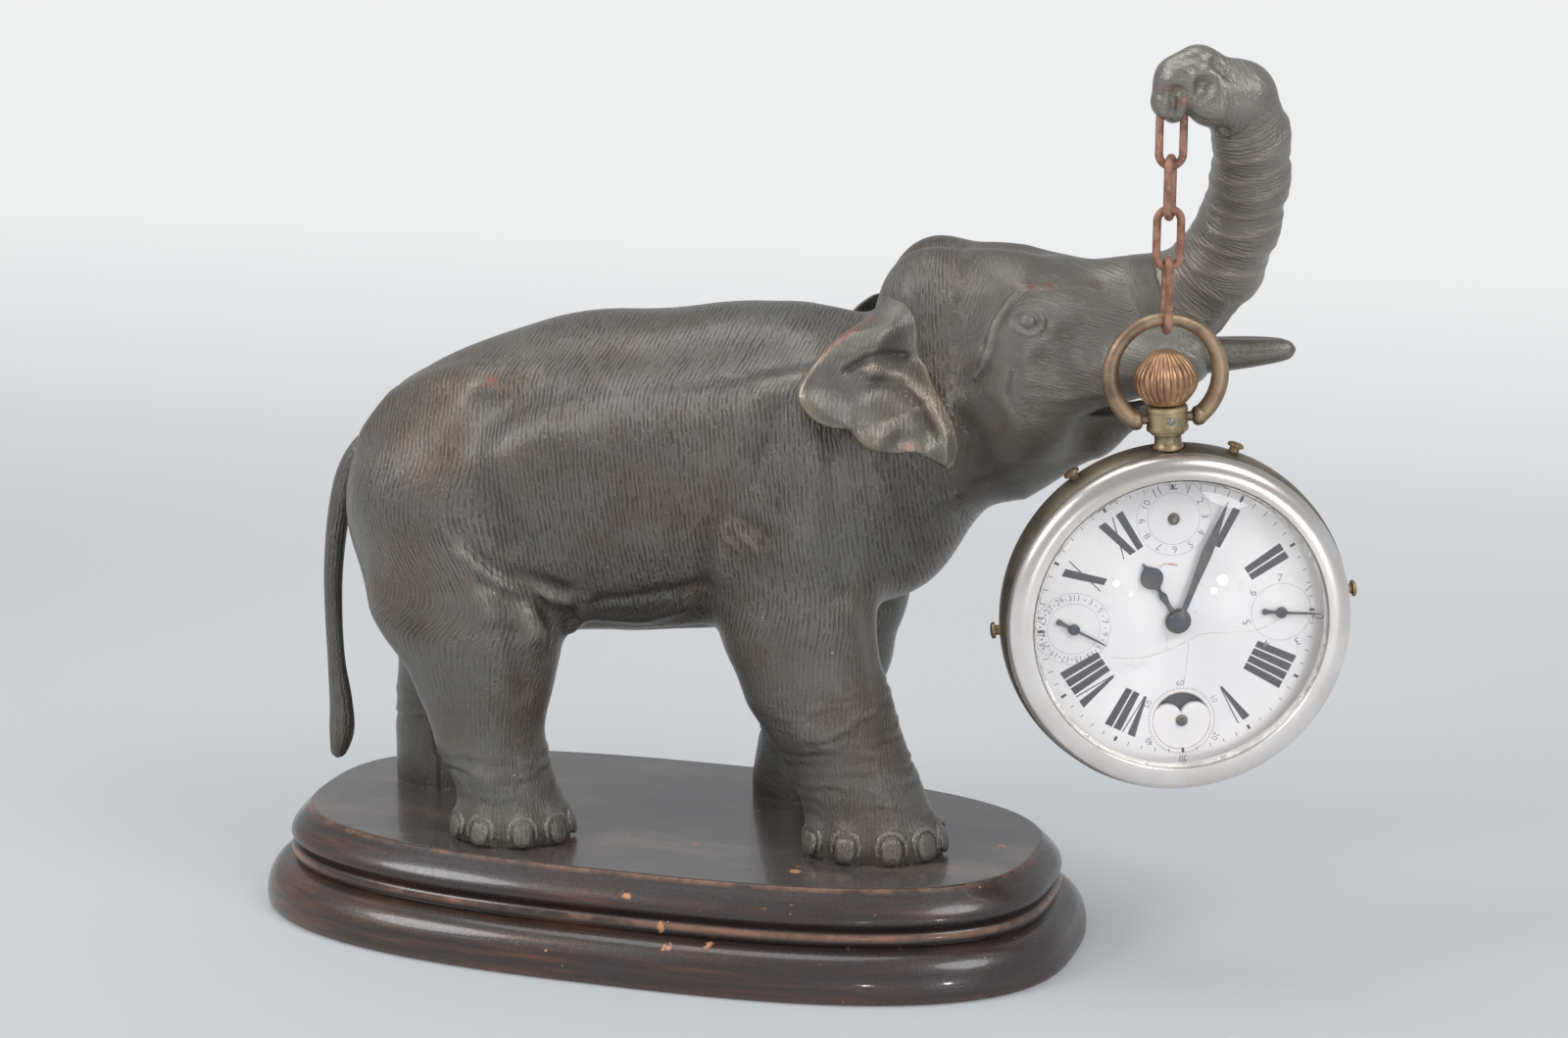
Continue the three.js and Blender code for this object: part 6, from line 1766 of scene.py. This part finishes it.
small_print = figure_ring([str(n) if n % 2 else "" for n in range(1, 32)], subdials["date"], 6.3, 1.75)
small_print += figure_ring([str(n) for n in range(1, 8)], subdials["day"], 7.0, 2.3)
small_print += figure_ring([str(n) for n in range(1, 13)], subdials["month"], 6.2, 2.1)
small_print += figure_ring([str(n) for n in range(10, 61, 10)], subdials["seconds"], 7.7, 1.7)
fine_line = 0.06
inner_rings = (("date", 5.2), ("day", 5.9), ("month", 5.2), ("seconds", 6.6))
outer_rings = (("date", 7.35), ("month", 7.4))
for name, radius in inner_rings + outer_rings:
    small_print.append(ring_line(subdials[name], radius, fine_line))
watch_piece("small_figures", joined(*small_print), pale_ink, "watch", crease=30)


def tick_tree(name, finish):
    """A node tree that sets marks evenly round a circle, each pointing outwards."""
    tree = Growth(name, {
        "Blank": "Geometry", "Count": "Int", "Radius": "Float",
        "Mark Length": "Float", "Mark Width": "Float",
    })
    count, radius = tree.input("Count"), tree.input("Radius")
    line = tree.node("GeometryNodeMeshLine", inputs={"Count": count, "Offset": (0.0, 0.0, 0.0)})
    turn = tree.node("GeometryNodeInputIndex") * (2 * math.pi) / count
    across, upwards = turn.calc("SINE", turn) * radius, turn.calc("COSINE", turn) * radius
    spot = tree.node("ShaderNodeCombineXYZ", inputs=(across, upwards))
    ring = tree.node("GeometryNodeSetPosition", inputs={"Geometry": line, "Position": spot})
    size = tree.node("ShaderNodeCombineXYZ", inputs=(
        tree.input("Mark Width"), tree.input("Mark Length"), print_high - print_low,
    ))
    mark = tree.node("GeometryNodeMeshCube", inputs={"Size": size})
    facing = tree.node("ShaderNodeCombineXYZ", inputs={"Z": 0 - turn})
    set_down = tree.node("GeometryNodeInstanceOnPoints", inputs={
        "Points": ring, "Instance": mark, "Rotation": facing,
    })
    tree.end(set_down, finish)
    return tree


def tick_ring(about, count, radius, length, width):
    """Points and faces of the marks that the tick tree sets, round a point of the dial."""
    mesh = ticks.grow(bpy.data.meshes.new("ticks"), {
        "Count": count, "Radius": radius, "Mark Length": length, "Mark Width": width,
    })
    height = (print_high + print_low) / 2
    points = [(v.co.x + about[0], v.co.y + about[1], v.co.z + height) for v in mesh.vertices]
    return points, [tuple(face.vertices) for face in mesh.polygons]


ticks = tick_tree("tick ring", numeral_ink)
track_radius = 27.0
track = tick_ring((0, 0), 60, track_radius, 0.75, 0.14)
hours = tick_ring((0, 0), 12, track_radius, 0.95, 0.55)
seconds_track = tick_ring(subdials["seconds"], 60, 6.85, 0.4, fine_line)
watch_piece("minute_track", joined(track, hours, seconds_track), numeral_ink, "watch", crease=30)

# Cracks and stains of the enamel, as (points, width).
crack_lines = [
    ([(-13.7, -6.6), (-7.2, -7.1), (-1.5, -5.8), (2.1, -4.4), (5, -3.3), (10.7, -3.4),
      (15.9, -3.4), (20.2, -1.6)], 0.1),
    ([(2.1, -4.6), (1.5, -8.9), (0.8, -13.1)], 0.1),
    ([(-2.3, -2.6), (-2.5, -6.1)], 0.08),
    ([(8.6, 3.2), (6.4, 5.9), (4.2, 7.5)], 0.06),
    ([(-3.2, 11.3), (-2.2, 11.8), (-0.8, 11.7), (0.4, 11.4)], 0.42),
    ([(3.3, 1.5), (3.8, 1.6)], 0.3),
]
crack_parts = [ribbon(points, width) for points, width in crack_lines]
crack_parts.append(ring_line(subdials["seconds"], 5.85, 0.16))
watch_piece("dial_cracks", joined(*crack_parts), crack_brown, "watch", crease=30)

# Moon: a blued disc with two pale gilt moons, which turns on its own arbor under the dial. The
# window between the humps shows one of them at a time.
disc_radius, disc_bore = 6.75, 1.15
disc_foot, disc_top = 0.2, 0.7
moon_radius = 2.3
night_blue = faded_finish("night sky", 0.9, 4, (0.35, 0.7), shade(62, 64, 72), shade(92, 86, 84), 0.35, 0.3)
disc_outlines = [circle(disc_radius, steps=72), circle(disc_bore, steps=24)]
disc_points, disc_faces = plate(disc_outlines, disc_foot, disc_top, 0.03)
disc_points = [(x, y - subdial_distance, z) for x, y, z in disc_points]
watch_piece("moon_sky", (disc_points, disc_faces), night_blue, "moon", "moon_disc", crease=30)
moonlight = Finish("moonlight")
moon_cloud = moonlight.noise(moonlight.place(), 0.8, 3)
moon_gilt = moonlight.close({
    "Base Color": moonlight.tint(moon_cloud, shade(206, 190, 150), shade(168, 146, 104)),
    "Roughness": 0.4, "Metallic": 0.4,
})
moons = []
for side in (1, -1):
    moon_outline = circle(moon_radius, (side * 3.9, -subdial_distance - 0.6), 40)
    moons.append(plate([moon_outline], disc_top - 0.02, disc_top + 0.06))
watch_piece("moon_faces", joined(*moons), moon_gilt, "moon", crease=30)

# Hands: filed from blued steel, browned with age: a spade for the hours, a long leaf for the
# minutes, small poker hands for date and weekday. Two arbors have lost their hands.
blued = Finish("blued steel")
blue_place = blued.place()
blue_cloud = blued.noise(blue_place, 0.35, 3, 0.6)
blue_fine = blued.noise(blue_place, 2.5, 3, 0.6)
steel_colour = blued.tint(blue_cloud.between(0.4, 0.6), shade(66, 68, 78), shade(92, 86, 84))
steel_colour = blued.tint(blue_fine.between(0.6, 0.8) * 0.5, steel_colour, shade(120, 112, 104))
blued_steel = blued.close({
    "Base Color": steel_colour, "Metallic": 0.6, "Roughness": 0.28 + 0.25 * blue_fine,
    "Normal": blued.bump(blue_fine, 0.02),
})
hour_turned, minute_turned = math.radians(332), math.radians(24)
hour_level, minute_level = 2.95, 3.9
hour_half = [(0.62, 1.8), (0.5, 4.4), (0.8, 6.0), (0.42, 7.0), (0.5, 8.0), (1.25, 8.6),
             (2.05, 9.5), (2.3, 10.6), (2.0, 11.6), (1.25, 12.4), (0.5, 13.1), (0.1, 14.1)]
minute_half = [(0.55, 1.5), (0.62, 6), (0.82, 11), (1.02, 15), (0.9, 18), (0.55, 21.5),
               (0.28, 24.4), (0.07, 26)]
calendar_half = [(0.2, -3.9), (0.55, -3.7), (0.62, -3.2), (0.4, -2.4), (0.3, 0), (0.24, 2.6),
                 (0.2, 4.6), (0.14, 6.2), (0.05, 7.4)]


def hand_outline(half, turn):
    """A hand's outline from its right half, as (across, outwards), turned round the dial."""
    path = smooth_path([(x, y, 0) for x, y in half], 6 * len(half))[:, :2]
    whole = [(x, y) for x, y in path] + [(-x, y) for x, y in path[::-1]]
    return round_about(whole, turn, 0)


def at_spot(parts, spot):
    """Several (points, faces) as one, moved from the dial's middle to a spot of it."""
    points, faces = joined(*parts)
    return [(x + spot[0], y + spot[1], z) for x, y, z in points], faces


hour_pipe = [(1.2, 0.2), (1.7, 0.2), (1.7, hour_level + 0.05), (2.45, hour_level + 0.05),
             (2.6, hour_level + 0.2), (2.5, hour_level + 0.4), (1.2, hour_level + 0.4)]
hour_parts = [
    plate([hand_outline(hour_half, hour_turned)], hour_level, hour_level + 0.4, 0.08),
    turned(hour_pipe, 64),
]
watch_piece("spade_hand", joined(*hour_parts), blued_steel, "hour", "hour_hand")
minute_pipe = [(0, -1.2), (0.9, -1.2), (0.9, minute_level - 0.05), (2.05, minute_level - 0.05),
               (2.2, minute_level + 0.1), (2.15, minute_level + 0.45), (1.8, minute_level + 0.7),
               (1.2, minute_level + 0.84), (0.75, minute_level + 0.88), (0.7, minute_level + 0.8),
               (0, minute_level + 0.8)]
minute_parts = [
    plate([hand_outline(minute_half, minute_turned)], minute_level, minute_level + 0.4, 0.1),
    turned(minute_pipe, 64),
]
watch_piece("leaf_hand", joined(*minute_parts), blued_steel, "minute", "minute_hand")
arbor_foot, arbor_radius = -1.7, 0.55
wheel_foot, wheel_top, wheel_radius = -0.9, -0.4, 4.0
wheel_section = [(0.5, wheel_foot), (wheel_radius, wheel_foot), (wheel_radius, wheel_top), (0.5, wheel_top)]
wheel = turned(wheel_section, 60)
pointer_foot = hour_level - 0.15
pointer_arbor = [(0, arbor_foot), (arbor_radius, arbor_foot), (arbor_radius, pointer_foot),
                 (1.0, pointer_foot), (1.15, pointer_foot + 0.12), (1.1, pointer_foot + 0.42),
                 (0.8, pointer_foot + 0.6), (0.45, pointer_foot + 0.66), (0, pointer_foot + 0.6)]
for name, degrees in (("date", 122), ("day", 97)):
    outline = hand_outline(calendar_half, math.radians(degrees))
    pointer = plate([outline], pointer_foot, pointer_foot + 0.3, 0.05)
    shape = at_spot([pointer, turned(pointer_arbor, 40), wheel], subdials[name])
    watch_piece(name + "_pointer", shape, blued_steel, name, name + "_hand")
arbor_steel = brass_finish("arbor steel", shade(78, 76, 74), shade(122, 112, 102), 0.8, 0.34)
bare_arbor = [(0, arbor_foot), (arbor_radius, arbor_foot), (arbor_radius, dial_front + 0.12),
              (1.1, dial_front + 0.12), (1.2, dial_front + 0.2), (1.15, dial_front + 0.4),
              (0.95, dial_front + 0.5), (0.5, dial_front + 0.52), (0.5, dial_front + 0.95),
              (0.4, dial_front + 1.05), (0, dial_front + 1.05)]
for name in ("month", "seconds"):
    shape = at_spot([turned(bare_arbor, 36), wheel], subdials[name])
    watch_piece(name + "_post", shape, arbor_steel, name, name + "_arbor")

# Movement and screws: brushed brass plates that stay as in the solid part, and four slotted
# screws up through the plinth into the feet.
movement_brass = brass_finish("movement brass", shade(150, 122, 70), shade(190, 160, 98), 0.9, 0.3)
for name in ("movement_plate", "train_bridge"):
    plate_mesh = frame["nodes"][name].data
    plate_mesh.materials.clear()
    plate_mesh.materials.append(movement_brass)
screw_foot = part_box("foot_screw_1")[0].z * 1000
screw_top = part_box("foot_screw_1")[1].z * 1000
head_radius, slot_half = 3.0, 0.4
shank_radius, thread_root, thread_turns = 1.5, 1.25, 12
thread_reach = screw_top - screw_foot - 4
lathe = [(0, screw_foot + 0.75), (head_radius, screw_foot + 0.75), (head_radius, screw_foot + 2.2),
         (shank_radius, screw_foot + 2.2)]
for count in range(thread_turns):
    height = screw_foot + 3.0 + count * thread_reach / thread_turns
    lathe += [(shank_radius, height), (thread_root, height + 0.35)]
lathe += [(1.4, screw_top - 0.6), (1.0, screw_top), (0, screw_top)]
slot_levels = [(2.75, 0.0), (2.95, 0.12), (head_radius, 0.35), (head_radius, 0.78)]
slot_turn = math.asin(slot_half / head_radius)
screws = []
for u, v in screw_places:
    x, y = on_plinth(u, v)
    screws.append(turned(lathe, 36, (x, y, 0)))
    for half_turn in (0, math.pi):
        half = arc((0, 0), 1, half_turn + slot_turn, half_turn + math.pi - slot_turn, 16)
        half.append((math.cos(half_turn + math.pi - slot_turn), math.sin(half_turn + math.pi - slot_turn)))
        rings = [[(x + a * r, y + b * r, screw_foot + h) for a, b in half] for r, h in slot_levels]
        screws.append(loft(rings))
screw_points, screw_faces = joined(*screws)
screw_mesh = mesh_of("foot_screws", screw_points, screw_faces)
outward(screw_mesh)
screw_mesh.materials.append(screw_steel)
settle("foot_screws", screw_mesh, "stand", *[f"foot_screw_{n}" for n in range(1, 5)], crease=35)
